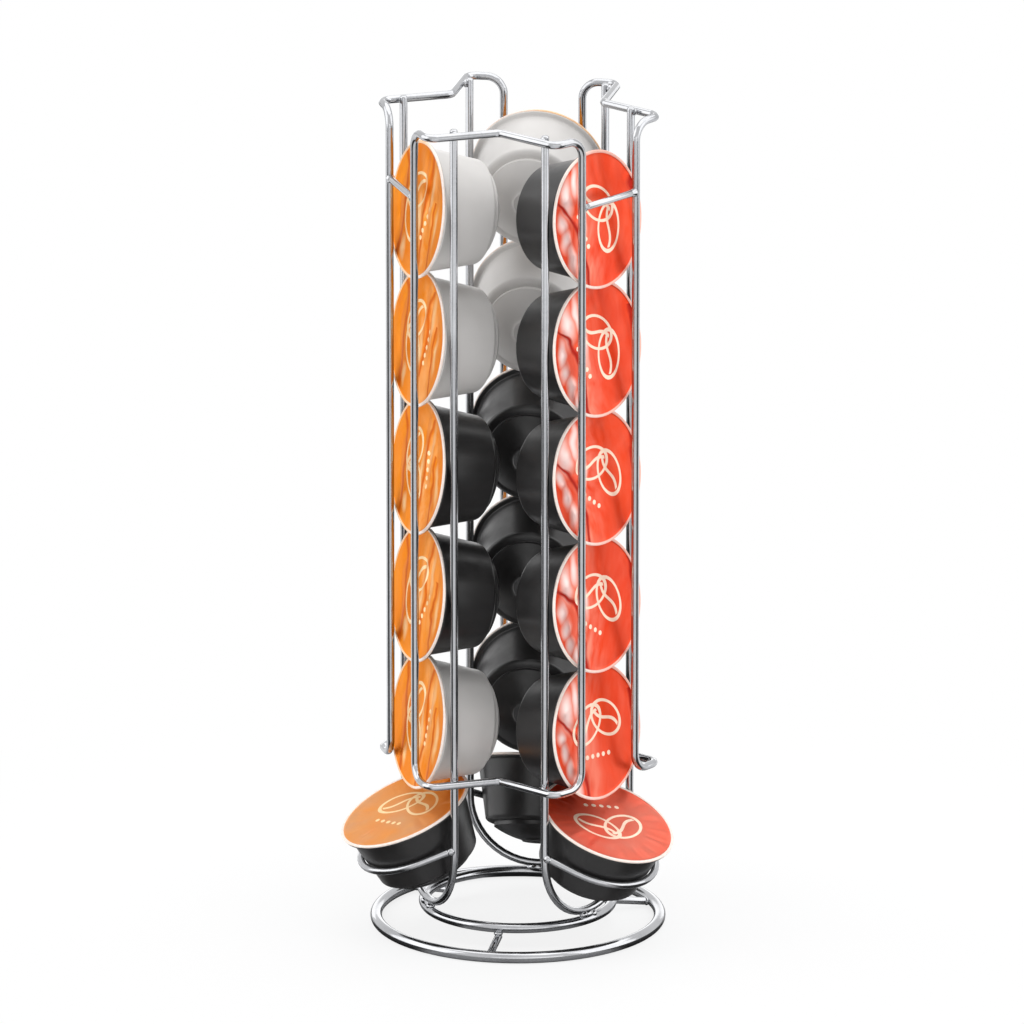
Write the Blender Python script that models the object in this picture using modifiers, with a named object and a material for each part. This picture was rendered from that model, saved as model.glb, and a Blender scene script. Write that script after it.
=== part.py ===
"""Coffee capsule dispenser: a chromed wire tower that feeds three columns of capsules by gravity.

Metres, +Z up. The tower stands on the table at z = 0, with one frame towards -Y and a column of
capsules towards the right, the left and the back. Azimuths are turned from -Y towards +X. The
origin lies on the table, in the middle of the space that the loaded tower takes up.
"""

import math

import bpy
from mathutils import Matrix, Vector

# Capsule
lid_diameter = 0.0544
lid_thickness = 0.0010
lid_rim_width = 0.0011
lid_recess = 0.0003
flange_inset = 0.0004
flange_thickness = 0.0005
flange_width = 0.0024
body_taper = 0.0041
wall_depth = 0.0237
shoulder_width = 0.0032
shoulder_depth = 0.0020
step_width = 0.0005
collar_depth = 0.0016
dome_rise = 0.0052
dome_shares = (0.75, 0.5, 0.0)

# Wires
tower_wire = 0.0031
bar_wire = 0.0028
tray_wire = 0.0029
spoke_wire = 0.0030
inner_ring_wire = 0.0040
outer_ring_wire = 0.0046

# Base
base_overhang = 0.0189
inner_ring_outset = 0.0005
spoke_rise = 0.0022
spoke_tail = 0.0012

# Frames
window_width = 0.0315
front_play = 0.0003
corner_setback = 0.0008
headroom = 0.0094
bar_drop = 0.0276
guide_overrun = 0.0022
post_bend = 0.0070
corner_bend = 0.0045
crown_bend = 0.0035

# Columns and trays
capsules_in_stack = 5
stack_lean = math.radians(8.0)
tray_slope = math.radians(24.3)
guide_twist = math.radians(3.5)
tray_foot_clearance = 0.0190
tray_throat = 0.0168
tray_wire_depth = 0.0138

# Clearances
seat_gap = 0.0003
stack_gap = 0.0006
side_play = 0.00025
core_play = 0.0070

# Facets
capsule_facets = 20
rounding_steps = 2
inner_ring_facets = 48
outer_ring_facets = 60
ring_section_facets = 8
bend_steps = 3
guide_arc_steps = 12
tray_arc_steps = 10
wire_resolution = 2
weld_distance = 0.00001
run_share = 0.48
edge_slope_share = 1.15

columns = {"right": math.radians(60.0), "back": math.radians(180.0), "left": math.radians(-60.0)}
frames = {"front": 0.0, "right": math.radians(120.0), "left": math.radians(-120.0)}
half_sector = math.radians(60.0)

# Cup colours from the top of each stack down, with the tray's capsule last
cup_finishes = {
    "right": ("black", "black", "black", "black", "black", "black"),
    "back": ("white", "white", "black", "black", "black", "black"),
    "left": ("white", "white", "black", "black", "white", "black"),
}
foil_finishes = {"right": "foil_red", "back": "foil_orange", "left": "foil_orange"}

# Sizes that follow from the ones above
lid_radius = lid_diameter / 2
flange_radius = lid_radius - flange_inset
body_root_radius = lid_radius - flange_width
body_end_radius = body_root_radius - body_taper
step_radius = body_end_radius - shoulder_width
collar_radius = step_radius - step_width
collar_end = wall_depth + shoulder_depth + collar_depth
capsule_depth = collar_end + dome_rise
cup_front = lid_thickness + seat_gap
flange_back = cup_front + flange_thickness
wall_slope = body_taper / (wall_depth - flange_back)
body_face_radius = body_root_radius + wall_slope * flange_back
tower_wire_radius = tower_wire / 2
window_half = window_width / 2


def body_radius(depth):
    """Radius of a cup's tapered wall at a depth behind the lid's face."""
    return body_face_radius - wall_slope * depth


# The guide wires run close beside the cups, and the leaning lids stand just outside them.
guide_half = body_root_radius + side_play + seat_gap + tower_wire_radius
lid_chord = math.sqrt(lid_radius**2 - (guide_half - tower_wire_radius)**2)
guide_play = seat_gap + lid_chord * math.sin(stack_lean)
guide_standoff = flange_back + guide_play + tower_wire_radius
collar_swing = (collar_end - guide_standoff) * math.sin(guide_twist)
core_radius = (collar_radius + collar_swing + core_play) / math.tan(half_sector)
lid_face_radius = core_radius + collar_end * math.cos(stack_lean)
guide_radius = lid_face_radius - guide_standoff

# The lids lean out at the bottom until they meet the outer posts, which allow for the twist.
window_chord = math.sqrt(lid_radius**2 - window_half**2)
lid_swing = window_half * math.sin(guide_twist) + window_chord * math.sin(stack_lean)
post_radius = lid_face_radius + lid_swing + front_play + tower_wire_radius
rail_half = guide_half + tower_wire + seat_gap

# Heights of the base, from the table up
spoke_outer_height = outer_ring_wire / 2
spoke_inner_height = spoke_outer_height + spoke_rise
inner_ring_height = spoke_inner_height + spoke_wire / 2 + seat_gap + inner_ring_wire / 2
inner_ring_radius = guide_radius + inner_ring_outset
outer_ring_radius = inner_ring_radius + base_overhang
guide_foot_height = inner_ring_height + inner_ring_wire / 2 + seat_gap + tower_wire_radius

# The tray capsule lies on its slope, its lid's edge just clear of the guide wires. Its domed end
# is lowest a little way down the slope from its tip.
edge_clearance = (tower_wire_radius + seat_gap) * edge_slope_share
edge_chord = math.sqrt(lid_radius**2 - (guide_half - edge_clearance)**2)
tray_reach = edge_chord * math.cos(tray_slope) + lid_thickness * math.sin(tray_slope)
dome_drop = (collar_radius * math.sin(tray_slope))**2 / (4 * dome_rise * math.cos(tray_slope))
foot_drop = capsule_depth * math.cos(tray_slope) + dome_drop
tray_lid_radius = guide_radius + tray_reach
tray_lid_height = tray_foot_clearance + foot_drop

# The lowest capsule of a stack lies with its wall on the inner edge of the tray capsule's lid,
# and each one above lies with its wall on the upper edge of the lid below it.
lean_rise = math.cos(stack_lean) + wall_slope * math.sin(stack_lean)
tray_edge_radius = tray_lid_radius - lid_radius * math.cos(tray_slope)
tray_edge_height = tray_lid_height + lid_radius * math.sin(tray_slope)
edge_reach = lid_face_radius - tray_edge_radius
seat_depth = (edge_reach + body_face_radius * math.sin(stack_lean)) / lean_rise
seat_drop = body_radius(seat_depth) * math.cos(stack_lean) + seat_depth * math.sin(stack_lean)
stack_foot_height = tray_edge_height + seat_gap + seat_drop
stack_pitch = (lid_radius + body_face_radius) / lean_rise + stack_gap
stack_top_height = stack_foot_height + (capsules_in_stack - 1) * stack_pitch

# Heights of the frames
frame_bottom = tray_lid_height + tray_throat
frame_top = stack_top_height + lid_radius + headroom
guide_top = frame_top + guide_overrun
bar_height = frame_top - bar_drop

# The tower's axis stands in front of the origin, because the back tray reaches further out.
tray_half_span = lid_radius * math.cos(tray_slope)
back_reach = tray_lid_radius + tray_half_span
front_reach = outer_ring_radius + outer_ring_wire / 2
axis_y = (front_reach - back_reach) / 2


def outward(azimuth):
    """Level direction away from the tower's axis."""
    return Vector((math.sin(azimuth), -math.cos(azimuth), 0))


def sideways(azimuth):
    """Level direction across the one away from the axis."""
    return Vector((math.cos(azimuth), math.sin(azimuth), 0))


def tower_point(azimuth, radial, lateral, height):
    """Point at a distance out, a distance to the side and a height."""
    axis = Vector((0, axis_y, height))
    return axis + outward(azimuth) * radial + sideways(azimuth) * lateral


def guided_point(azimuth, radial, lateral, height):
    """The same, in a column's guides, which are twisted a little about their own middle line."""
    turned = azimuth + guide_twist
    middle = tower_point(azimuth, guide_radius, 0, height)
    return middle + outward(turned) * (radial - guide_radius) + sideways(turned) * lateral


def make_material(name, colour, metallic, roughness):
    """Principled material of one finish."""
    material = bpy.data.materials.new(name)
    material.use_nodes = True
    shader = material.node_tree.nodes["Principled BSDF"]
    shader.inputs["Base Color"].default_value = (*colour, 1)
    shader.inputs["Metallic"].default_value = metallic
    shader.inputs["Roughness"].default_value = roughness
    return material


def turned_mesh(name, profile, closed):
    """Mesh turned about Z from a profile of (radius, height) points that runs down its outer side."""
    mesh = bpy.data.meshes.new(name)
    points = [(radius, 0, height) for radius, height in profile]
    edges = [(index, index + 1) for index in range(len(points) - 1)]
    if closed:
        edges.append((len(points) - 1, 0))
    mesh.from_pydata(points, edges, [])
    return mesh


def add_turned(name, mesh, facets, collection):
    """Object that turns a profile mesh into a solid of revolution with a Screw modifier."""
    part = bpy.data.objects.new(name, mesh)
    collection.objects.link(part)
    screw = part.modifiers.new("Turn", "SCREW")
    screw.axis = "Z"
    screw.steps = facets
    screw.render_steps = facets
    screw.use_merge_vertices = True
    screw.merge_threshold = weld_distance
    screw.use_smooth_shade = True
    return part


def add_wire(name, points, wire, closed, material, collection):
    """Round wire along a path, as a curve with filled ends."""
    curve = bpy.data.curves.new(name, "CURVE")
    curve.dimensions = "3D"
    curve.bevel_depth = wire / 2
    curve.bevel_resolution = wire_resolution
    curve.use_fill_caps = not closed
    spline = curve.splines.new("POLY")
    spline.points.add(len(points) - 1)
    for knot, point in zip(spline.points, points):
        knot.co = (*point, 1)
    spline.use_cyclic_u = closed
    spline.use_smooth = True
    curve.materials.append(material)
    part = bpy.data.objects.new(name, curve)
    collection.objects.link(part)
    return part


def bent_path(corners, closed):
    """Points of a path whose corners are bent to a radius: (point, radius), radius 0 for an end."""
    path = []
    for index, (corner, radius) in enumerate(corners):
        if radius == 0:
            path.append(corner)
            continue
        before = corners[index - 1][0] - corner
        after = corners[(index + 1) % len(corners)][0] - corner
        bend = math.pi - before.angle(after)
        tangent = radius * math.tan(bend / 2)
        tangent = min(tangent, before.length * run_share, after.length * run_share)
        bend_radius = tangent / math.tan(bend / 2)
        start = corner + before.normalized() * tangent
        inward = (before.normalized() + after.normalized()).normalized()
        centre = corner + inward * bend_radius / math.cos(bend / 2)
        axis = after.cross(before)
        for step in range(bend_steps + 1):
            turn = Matrix.Rotation(bend * step / bend_steps, 3, axis)
            path.append(centre + turn @ (start - centre))
    return path


def add_ring(name, radius, height, wire, facets, material, collection):
    """Wire ring about the tower's axis, with a flat facet all round its underside."""
    half_facet = math.pi / ring_section_facets
    section_radius = wire / 2 / math.cos(half_facet)
    profile = []
    for index in range(ring_section_facets):
        angle = half_facet - 2 * half_facet * index
        profile.append((radius + section_radius * math.cos(angle), section_radius * math.sin(angle)))
    mesh = turned_mesh(name, profile, closed=True)
    mesh.materials.append(material)
    ring = add_turned(name, mesh, facets, collection)
    ring.location = (0, axis_y, height)
    return ring


def add_spoke(name, azimuth, material, collection):
    """Short wire that carries the inner ring, sloping down to the outer ring's inner side."""
    outer_end = outer_ring_radius - outer_ring_wire / 2 - seat_gap
    slope = (spoke_inner_height - spoke_outer_height) / (outer_end - inner_ring_radius)
    inner_end = inner_ring_radius - spoke_tail
    inner_height = spoke_inner_height + slope * spoke_tail
    points = [
        tower_point(azimuth, inner_end, 0, inner_height),
        tower_point(azimuth, outer_end, 0, spoke_outer_height),
    ]
    return add_wire(name, points, spoke_wire, False, material, collection)


def frame_half(azimuth, side, height):
    """Corners of one half of a frame's end, from its crown out to its post.

    The rail runs beside the column's guide wire, and the lip turns in front of the lids to the post.
    """
    column = azimuth + side * half_sector
    crown = tower_point(azimuth, rail_half / math.sin(half_sector), 0, height)
    corner = tower_point(column, post_radius - corner_setback, -side * rail_half, height)
    post = tower_point(column, post_radius, -side * window_half, height)
    return [(crown, crown_bend), (corner, corner_bend), (post, post_bend)]


def add_frame(name, azimuth, material, collection):
    """Closed frame of one bent wire: two posts, with a peaked rail and two lips at each end."""
    top_right = frame_half(azimuth, 1, frame_top)
    top_left = frame_half(azimuth, -1, frame_top)
    low_right = frame_half(azimuth, 1, frame_bottom)
    low_left = frame_half(azimuth, -1, frame_bottom)
    corners = top_right + low_right[::-1] + low_left[1:] + top_left[:0:-1]
    return add_wire(name, bent_path(corners, True), tower_wire, True, material, collection)


def add_guide(name, azimuth, material, collection):
    """U-shaped wire of one column: two guide wires that meet in a half round on the inner ring."""
    centre_height = guide_foot_height + guide_half
    points = [guided_point(azimuth, guide_radius, -guide_half, guide_top)]
    for step in range(guide_arc_steps + 1):
        angle = math.pi * step / guide_arc_steps
        lateral = -guide_half * math.cos(angle)
        height = centre_height - guide_half * math.sin(angle)
        points.append(guided_point(azimuth, guide_radius, lateral, height))
    points.append(guided_point(azimuth, guide_radius, guide_half, guide_top))
    return add_wire(name, points, tower_wire, False, material, collection)


def add_bar(name, azimuth, material, collection):
    """Retaining bar across the top of a column's window, butted between its two posts."""
    half_length = window_half - tower_wire_radius - seat_gap
    points = [
        tower_point(azimuth, post_radius, -half_length, bar_height),
        tower_point(azimuth, post_radius, half_length, bar_height),
    ]
    return add_wire(name, points, bar_wire, False, material, collection)


def add_tray(name, azimuth, material, collection):
    """Horseshoe wire that holds the tray capsule, in the plane of its slope.

    It leaves each guide wire at a tangent to the arc that hugs the capsule's tapered wall.
    """
    axis_radius = tray_lid_radius - tray_wire_depth * math.sin(tray_slope)
    axis_height = tray_lid_height - tray_wire_depth * math.cos(tray_slope)
    cap_lean = tray_wire / 2 * math.sin(tray_slope)
    end_radius = guide_radius + tower_wire_radius + seat_gap + cap_lean
    end_along = (end_radius - axis_radius) / math.cos(tray_slope)
    end_distance = math.hypot(end_along, guide_half)
    fit_radius = body_radius(tray_wire_depth) + seat_gap + tray_wire / 2
    half_step = math.pi / tray_arc_steps / 2
    arc_radius = fit_radius / math.cos(half_step)
    half_arc = math.atan2(guide_half, end_along) - math.acos(arc_radius / end_distance)

    def sloped(along, lateral):
        radial = axis_radius + along * math.cos(tray_slope)
        height = axis_height - along * math.sin(tray_slope)
        return guided_point(azimuth, radial, lateral, height)

    points = [sloped(end_along, -guide_half)]
    for step in range(tray_arc_steps + 1):
        angle = half_arc * (2 * step / tray_arc_steps - 1)
        points.append(sloped(arc_radius * math.cos(angle), arc_radius * math.sin(angle)))
    points.append(sloped(end_along, guide_half))
    return add_wire(name, points, tray_wire, False, material, collection)


def lid_profile():
    """Foil lid with its face a little below its rolled rim."""
    face_radius = lid_radius - lid_rim_width - lid_recess
    return [
        (0, -lid_recess),
        (face_radius, -lid_recess),
        (face_radius + lid_recess, 0),
        (lid_radius, 0),
        (lid_radius, -lid_thickness),
        (0, -lid_thickness),
    ]


def rounding(outer_radius, start_depth, inner_radius, end_depth):
    """Profile points of an edge rounded off as a quarter ellipse, from the wall to the end."""
    points = []
    for step in range(rounding_steps + 1):
        angle = math.pi / 2 * step / rounding_steps
        radius = inner_radius + (outer_radius - inner_radius) * math.cos(angle)
        depth = start_depth + (end_depth - start_depth) * math.sin(angle)
        points.append((radius, -depth))
    return points


def cup_profile():
    """Moulded cup: a thin flange, a tapered wall, a rounded shoulder, a short collar and a domed end."""
    step_depth = wall_depth + shoulder_depth
    flange = [(0, -cup_front), (flange_radius, -cup_front), (flange_radius, -flange_back)]
    root = [(body_root_radius, -flange_back)]
    shoulder = rounding(body_end_radius, wall_depth, step_radius, step_depth)
    collar = [(collar_radius, -step_depth), (collar_radius, -collar_end)]
    dome = [(collar_radius * share, dome_rise * share**2 - capsule_depth) for share in dome_shares]
    return flange + root + shoulder + collar + dome


def add_capsule(name, place, azimuth, lid_elevation, carrier, finishes, meshes, collection):
    """Cup and lid under an empty that slides up with the capsules on top of it.

    The lid's elevation is the angle between its outward face's direction and the level.
    """
    mover = bpy.data.objects.new(name, None)
    collection.objects.link(mover)
    mover.empty_display_size = lid_radius
    mover.location = place
    if carrier is not None:
        mover.parent = carrier
        mover.location = place - carrier.matrix_world.translation
    bpy.context.view_layer.update()
    for piece, finish in finishes.items():
        part = add_turned(f"{name}_{piece}", meshes[piece, finish], capsule_facets, collection)
        part.parent = mover
        part.rotation_euler = (math.pi / 2 - lid_elevation, 0, azimuth + guide_twist)
    return mover


def add_column(side, azimuth, meshes, collection):
    """One column: the capsule in its tray, and the stack that rides on it, from the bottom up."""
    cups = cup_finishes[side]
    foil = foil_finishes[side]
    place = guided_point(azimuth, tray_lid_radius, 0, tray_lid_height)
    finishes = {"cup": f"cup_{cups[-1]}", "lid": foil}
    elevation = math.pi / 2 - tray_slope
    name = f"capsule_{side}_tray"
    carrier = add_capsule(name, place, azimuth, elevation, None, finishes, meshes, collection)
    for level in range(capsules_in_stack):
        number = capsules_in_stack - level
        height = stack_foot_height + level * stack_pitch
        place = guided_point(azimuth, lid_face_radius, 0, height)
        finishes = {"cup": f"cup_{cups[(number - 1) % len(cups)]}", "lid": foil}
        name = f"capsule_{side}_{number}"
        carrier = add_capsule(name, place, azimuth, stack_lean, carrier, finishes, meshes, collection)


def capsule_meshes(materials):
    """One profile mesh for each kind of cup and lid, shared by the capsules that have it."""
    meshes = {}
    for finish in ("cup_white", "cup_black"):
        mesh = turned_mesh(finish, cup_profile(), closed=False)
        mesh.materials.append(materials[finish])
        meshes["cup", finish] = mesh
    for finish in ("foil_orange", "foil_red"):
        mesh = turned_mesh(finish, lid_profile(), closed=False)
        mesh.materials.append(materials[finish])
        meshes["lid", finish] = mesh
    return meshes


def add_base(chrome, collection):
    """Two rings and the three spokes that join them."""
    outer_ring = (outer_ring_radius, spoke_outer_height, outer_ring_wire, outer_ring_facets)
    inner_ring = (inner_ring_radius, inner_ring_height, inner_ring_wire, inner_ring_facets)
    add_ring("outer_ring", *outer_ring, chrome, collection)
    add_ring("inner_ring", *inner_ring, chrome, collection)
    for side, azimuth in frames.items():
        add_spoke(f"spoke_{side}", azimuth, chrome, collection)


def main():
    for old in list(bpy.data.objects):
        bpy.data.objects.remove(old, do_unlink=True)

    collection = bpy.data.collections.new("coffee_capsule_dispenser")
    bpy.context.scene.collection.children.link(collection)
    materials = {
        "chrome_wire": make_material("chrome_wire", (0.80, 0.81, 0.83), 1.0, 0.10),
        "foil_orange": make_material("foil_orange", (0.87, 0.28, 0.02), 0.6, 0.32),
        "foil_red": make_material("foil_red", (0.80, 0.07, 0.02), 0.6, 0.32),
        "cup_white": make_material("cup_white", (0.78, 0.76, 0.73), 0.0, 0.45),
        "cup_black": make_material("cup_black", (0.018, 0.018, 0.020), 0.0, 0.40),
    }
    chrome = materials["chrome_wire"]

    add_base(chrome, collection)
    for side, azimuth in frames.items():
        add_frame(f"frame_{side}", azimuth, chrome, collection)
    for side, azimuth in columns.items():
        add_guide(f"guide_{side}", azimuth, chrome, collection)
        add_bar(f"bar_{side}", azimuth, chrome, collection)
        add_tray(f"tray_{side}", azimuth, chrome, collection)
    meshes = capsule_meshes(materials)
    for side, azimuth in columns.items():
        add_column(side, azimuth, meshes, collection)


main()
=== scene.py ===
"""Looks of the coffee capsule dispenser: chromed wires, foil-lidded capsules and the studio round them.

Metres, +Z up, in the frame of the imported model. Azimuths are turned from -Y towards +X. Every piece
here stands for a node of the frame, or is a weld between two of them, and rides on that node's body.
"""

import logging
import math
from dataclasses import dataclass, field
from enum import Enum
from functools import partialmethod

import bpy
from mathutils import Matrix, Vector, noise

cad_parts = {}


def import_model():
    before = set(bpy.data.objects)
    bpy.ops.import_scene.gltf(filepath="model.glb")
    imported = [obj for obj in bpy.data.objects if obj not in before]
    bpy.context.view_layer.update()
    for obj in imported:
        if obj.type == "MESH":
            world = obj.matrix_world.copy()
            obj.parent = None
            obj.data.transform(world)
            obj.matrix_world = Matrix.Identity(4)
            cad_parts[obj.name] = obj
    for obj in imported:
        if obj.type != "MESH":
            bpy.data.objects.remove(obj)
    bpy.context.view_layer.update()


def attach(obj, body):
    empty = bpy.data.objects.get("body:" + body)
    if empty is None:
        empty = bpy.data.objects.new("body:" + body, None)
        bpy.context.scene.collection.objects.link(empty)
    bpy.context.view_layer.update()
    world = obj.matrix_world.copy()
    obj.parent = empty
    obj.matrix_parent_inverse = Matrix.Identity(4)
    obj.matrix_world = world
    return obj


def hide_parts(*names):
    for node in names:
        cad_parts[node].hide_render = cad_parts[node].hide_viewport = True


log = logging.getLogger("dispenser")

Piece = bpy.types.Object
Node = bpy.types.Node
Material = bpy.types.Material
Pair = tuple[float, float]
Triple = tuple[float, float, float]
Quad = tuple[float, float, float, float]
Corner = tuple[Vector, float]

MILLIMETRE = 0.001
WELD_DISTANCE = 0.00001
QUARTER = math.pi / 2
UP = Vector((0, 0, 1))
PRINT_LAYER = "lid_plan"
FACE_LAYER = "lid_face"
TRAY_SHIFT = 8.0
OFF_LID = 4.0
FACE_WIDTH = 2.0
SMOOTH = {"interpolation_type": "SMOOTHSTEP"}


class Direction(Enum):
    """A direction from the tower's axis."""

    @property
    def label(self) -> str:
        """Name of the direction as the frame's nodes have it."""
        return self.name.lower()


class Side(Direction):
    """The three columns of capsules, by the direction that their lids face."""

    RIGHT = math.radians(60.0)
    BACK = math.radians(180.0)
    LEFT = math.radians(-60.0)


class Gap(Direction):
    """The three gaps between the columns, where the window frames and the spokes stand."""

    FRONT = 0.0
    RIGHT = math.radians(120.0)
    LEFT = math.radians(-120.0)


class CupTone(Enum):
    """The two plastics that the cups are moulded in."""

    WHITE = "cup_white"
    BLACK = "cup_black"


class FoilTone(Enum):
    """The two lacquers of the foil lids."""

    ORANGE = "foil_orange"
    RED = "foil_red"


def out_and_side(azimuth: float) -> tuple[Vector, Vector]:
    """Outward and sideways directions at an azimuth."""
    cosine, sine = math.cos(azimuth), math.sin(azimuth)
    return Vector((sine, -cosine, 0)), Vector((cosine, sine, 0))


@dataclass
class RackPlan:
    """Driving sizes of the rack and its capsules, with the places that follow from them."""

    lid_diameter: float = 0.0544
    lid_thickness: float = 0.0010
    flange_inset: float = 0.0004
    flange_thickness: float = 0.0005
    flange_width: float = 0.0024
    body_taper: float = 0.0041
    wall_depth: float = 0.0237
    shoulder_width: float = 0.0032
    shoulder_depth: float = 0.0020
    step_width: float = 0.0005
    collar_depth: float = 0.0016
    dome_rise: float = 0.0052
    tower_wire: float = 0.0031
    bar_wire: float = 0.0028
    tray_wire: float = 0.0029
    spoke_wire: float = 0.0030
    inner_ring_wire: float = 0.0040
    outer_ring_wire: float = 0.0046
    base_overhang: float = 0.0189
    inner_ring_outset: float = 0.0005
    spoke_rise: float = 0.0022
    spoke_tail: float = 0.0012
    window_width: float = 0.0315
    front_play: float = 0.0003
    corner_setback: float = 0.0008
    headroom: float = 0.0094
    bar_drop: float = 0.0276
    guide_overrun: float = 0.0022
    post_bend: float = 0.0070
    corner_bend: float = 0.0045
    crown_bend: float = 0.0035
    capsules_in_stack: int = 5
    stack_lean: float = math.radians(8.0)
    tray_slope: float = math.radians(24.3)
    guide_twist: float = math.radians(3.5)
    tray_foot_clearance: float = 0.0190
    tray_throat: float = 0.0168
    tray_wire_depth: float = 0.0138
    seat_gap: float = 0.0003
    stack_gap: float = 0.0006
    side_play: float = 0.00025
    core_play: float = 0.0070
    edge_slope_share: float = 1.15
    half_sector: float = math.radians(60.0)

    def __post_init__(self) -> None:
        """Works out the derived sizes, from the capsule outwards and from the table up."""
        self.size_capsule()
        self.size_columns()
        self.size_base()
        self.size_trays()
        self.size_frames()

    def size_capsule(self) -> None:
        """Radii and depths of the capsule."""
        self.lid_radius = self.lid_diameter / 2
        self.root_radius = self.lid_radius - self.flange_width
        self.flange_back = self.lid_thickness + self.seat_gap + self.flange_thickness
        self.wall_slope = self.body_taper / (self.wall_depth - self.flange_back)
        self.wall_start = self.root_radius + self.wall_slope * self.flange_back
        self.step_radius = self.root_radius - self.body_taper - self.shoulder_width
        self.collar_radius = self.step_radius - self.step_width
        self.collar_end = self.wall_depth + self.shoulder_depth + self.collar_depth
        self.capsule_depth = self.collar_end + self.dome_rise

    def size_columns(self) -> None:
        """Distances of the guides, the lids and the posts from the tower's axis."""
        wire_radius = self.tower_wire / 2
        self.guide_half = self.root_radius + self.side_play + self.seat_gap + wire_radius
        chord = math.sqrt(self.lid_radius**2 - (self.guide_half - wire_radius) ** 2)
        play = self.seat_gap + chord * math.sin(self.stack_lean)
        standoff = self.flange_back + play + wire_radius
        collar_swing = (self.collar_end - standoff) * math.sin(self.guide_twist)
        core = (self.collar_radius + collar_swing + self.core_play) / math.tan(self.half_sector)
        self.lid_face_radius = core + self.collar_end * math.cos(self.stack_lean)
        self.guide_radius = self.lid_face_radius - standoff
        self.window_half = self.window_width / 2
        window_chord = math.sqrt(self.lid_radius**2 - self.window_half**2)
        swing = self.window_half * math.sin(self.guide_twist) + window_chord * math.sin(self.stack_lean)
        self.post_radius = self.lid_face_radius + swing + self.front_play + wire_radius
        self.rail_half = self.guide_half + self.tower_wire + self.seat_gap

    def size_base(self) -> None:
        """Radii and heights of the rings, the spokes and the guides' feet."""
        ring_wire = self.inner_ring_wire / 2
        self.spoke_outer_height = self.outer_ring_wire / 2
        self.spoke_inner_height = self.spoke_outer_height + self.spoke_rise
        self.inner_ring_height = self.spoke_inner_height + self.spoke_wire / 2 + self.seat_gap + ring_wire
        self.guide_foot_height = self.inner_ring_height + ring_wire + self.seat_gap + self.tower_wire / 2
        self.inner_ring_radius = self.guide_radius + self.inner_ring_outset
        self.outer_ring_radius = self.inner_ring_radius + self.base_overhang

    def size_trays(self) -> None:
        """Places of the tray capsules and of the stacks that rest on them."""
        clearance = (self.tower_wire / 2 + self.seat_gap) * self.edge_slope_share
        chord = math.sqrt(self.lid_radius**2 - (self.guide_half - clearance) ** 2)
        sine, cosine = math.sin(self.tray_slope), math.cos(self.tray_slope)
        dome = (self.collar_radius * sine) ** 2 / (4 * self.dome_rise * cosine)
        self.tray_lid_height = self.tray_foot_clearance + self.capsule_depth * cosine + dome
        self.tray_lid_radius = self.guide_radius + (chord * cosine + self.lid_thickness * sine)
        edge_radius = self.tray_lid_radius - self.lid_radius * cosine
        edge_height = self.tray_lid_height + self.lid_radius * sine
        sine, cosine = math.sin(self.stack_lean), math.cos(self.stack_lean)
        rise = cosine + self.wall_slope * sine
        depth = (self.lid_face_radius - edge_radius + self.wall_start * sine) / rise
        drop = self.wall_radius(depth) * cosine + depth * sine
        self.stack_foot_height = edge_height + self.seat_gap + drop
        self.stack_pitch = (self.lid_radius + self.wall_start) / rise + self.stack_gap

    def size_frames(self) -> None:
        """Heights of the frames, and the place of the tower's axis."""
        top_capsule = self.stack_foot_height + (self.capsules_in_stack - 1) * self.stack_pitch
        self.frame_top = top_capsule + self.lid_radius + self.headroom
        self.frame_bottom = self.tray_lid_height + self.tray_throat
        self.guide_top = self.frame_top + self.guide_overrun
        self.bar_height = self.frame_top - self.bar_drop
        back = self.tray_lid_radius + self.lid_radius * math.cos(self.tray_slope)
        self.axis_y = (self.outer_ring_radius + self.outer_ring_wire / 2 - back) / 2

    def wall_radius(self, depth: float) -> float:
        """Radius of a cup's tapered wall at a depth behind the lid's face."""
        return self.wall_start - self.wall_slope * depth

    def place(self, azimuth: float, radial: float, lateral: float, height: float) -> Vector:
        """Point at a distance out from the tower's axis, a distance to the side and a height."""
        out, side = out_and_side(azimuth)
        return Vector((0, self.axis_y, height)) + out * radial + side * lateral

    def guided_place(self, azimuth: float, radial: float, lateral: float, height: float) -> Vector:
        """Point in a column's guides, which are twisted a little about their middle line.

        Args:
            azimuth: Direction of the column.
            radial: Distance from the axis before the twist.
            lateral: Distance to the side before the twist.
            height: Height over the table.

        Returns:
            The point in the model's frame.
        """
        out, side = out_and_side(azimuth + self.guide_twist)
        middle = self.place(azimuth, self.guide_radius, 0, height)
        return middle + out * (radial - self.guide_radius) + side * lateral

    def capsule_matrix(self, side: Side, level: int | None) -> Matrix:
        """Place and turn of a capsule, from the centre of its lid's face, the lid facing +Z.

        Args:
            side: Column that the capsule is in.
            level: Height in the stack counted from the bottom, or None for the tray capsule.

        Returns:
            The matrix from the capsule's own frame to the model's.
        """
        radius, height, tilt = self.tray_lid_radius, self.tray_lid_height, self.tray_slope
        if level is not None:
            radius, height = self.lid_face_radius, self.stack_foot_height + level * self.stack_pitch
            tilt = QUARTER - self.stack_lean
        turn = Matrix.Rotation(side.value + self.guide_twist, 4, "Z")
        origin = Matrix.Translation(self.guided_place(side.value, radius, 0, height))
        return origin @ turn @ Matrix.Rotation(tilt, 4, "X")


def clear_selection() -> None:
    """Leaves edit mode and deselects everything, which an operator would otherwise act on."""
    if bpy.context.object and bpy.context.object.mode != "OBJECT":
        bpy.ops.object.mode_set(mode="OBJECT")
    bpy.ops.object.select_all(action="DESELECT")


def pick(*pieces: Piece) -> None:
    """Selects some pieces and nothing else.

    Args:
        pieces: The pieces, of which the first one becomes active.
    """
    clear_selection()
    for piece in pieces:
        piece.select_set(True)
    bpy.context.view_layer.objects.active = pieces[0]


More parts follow.
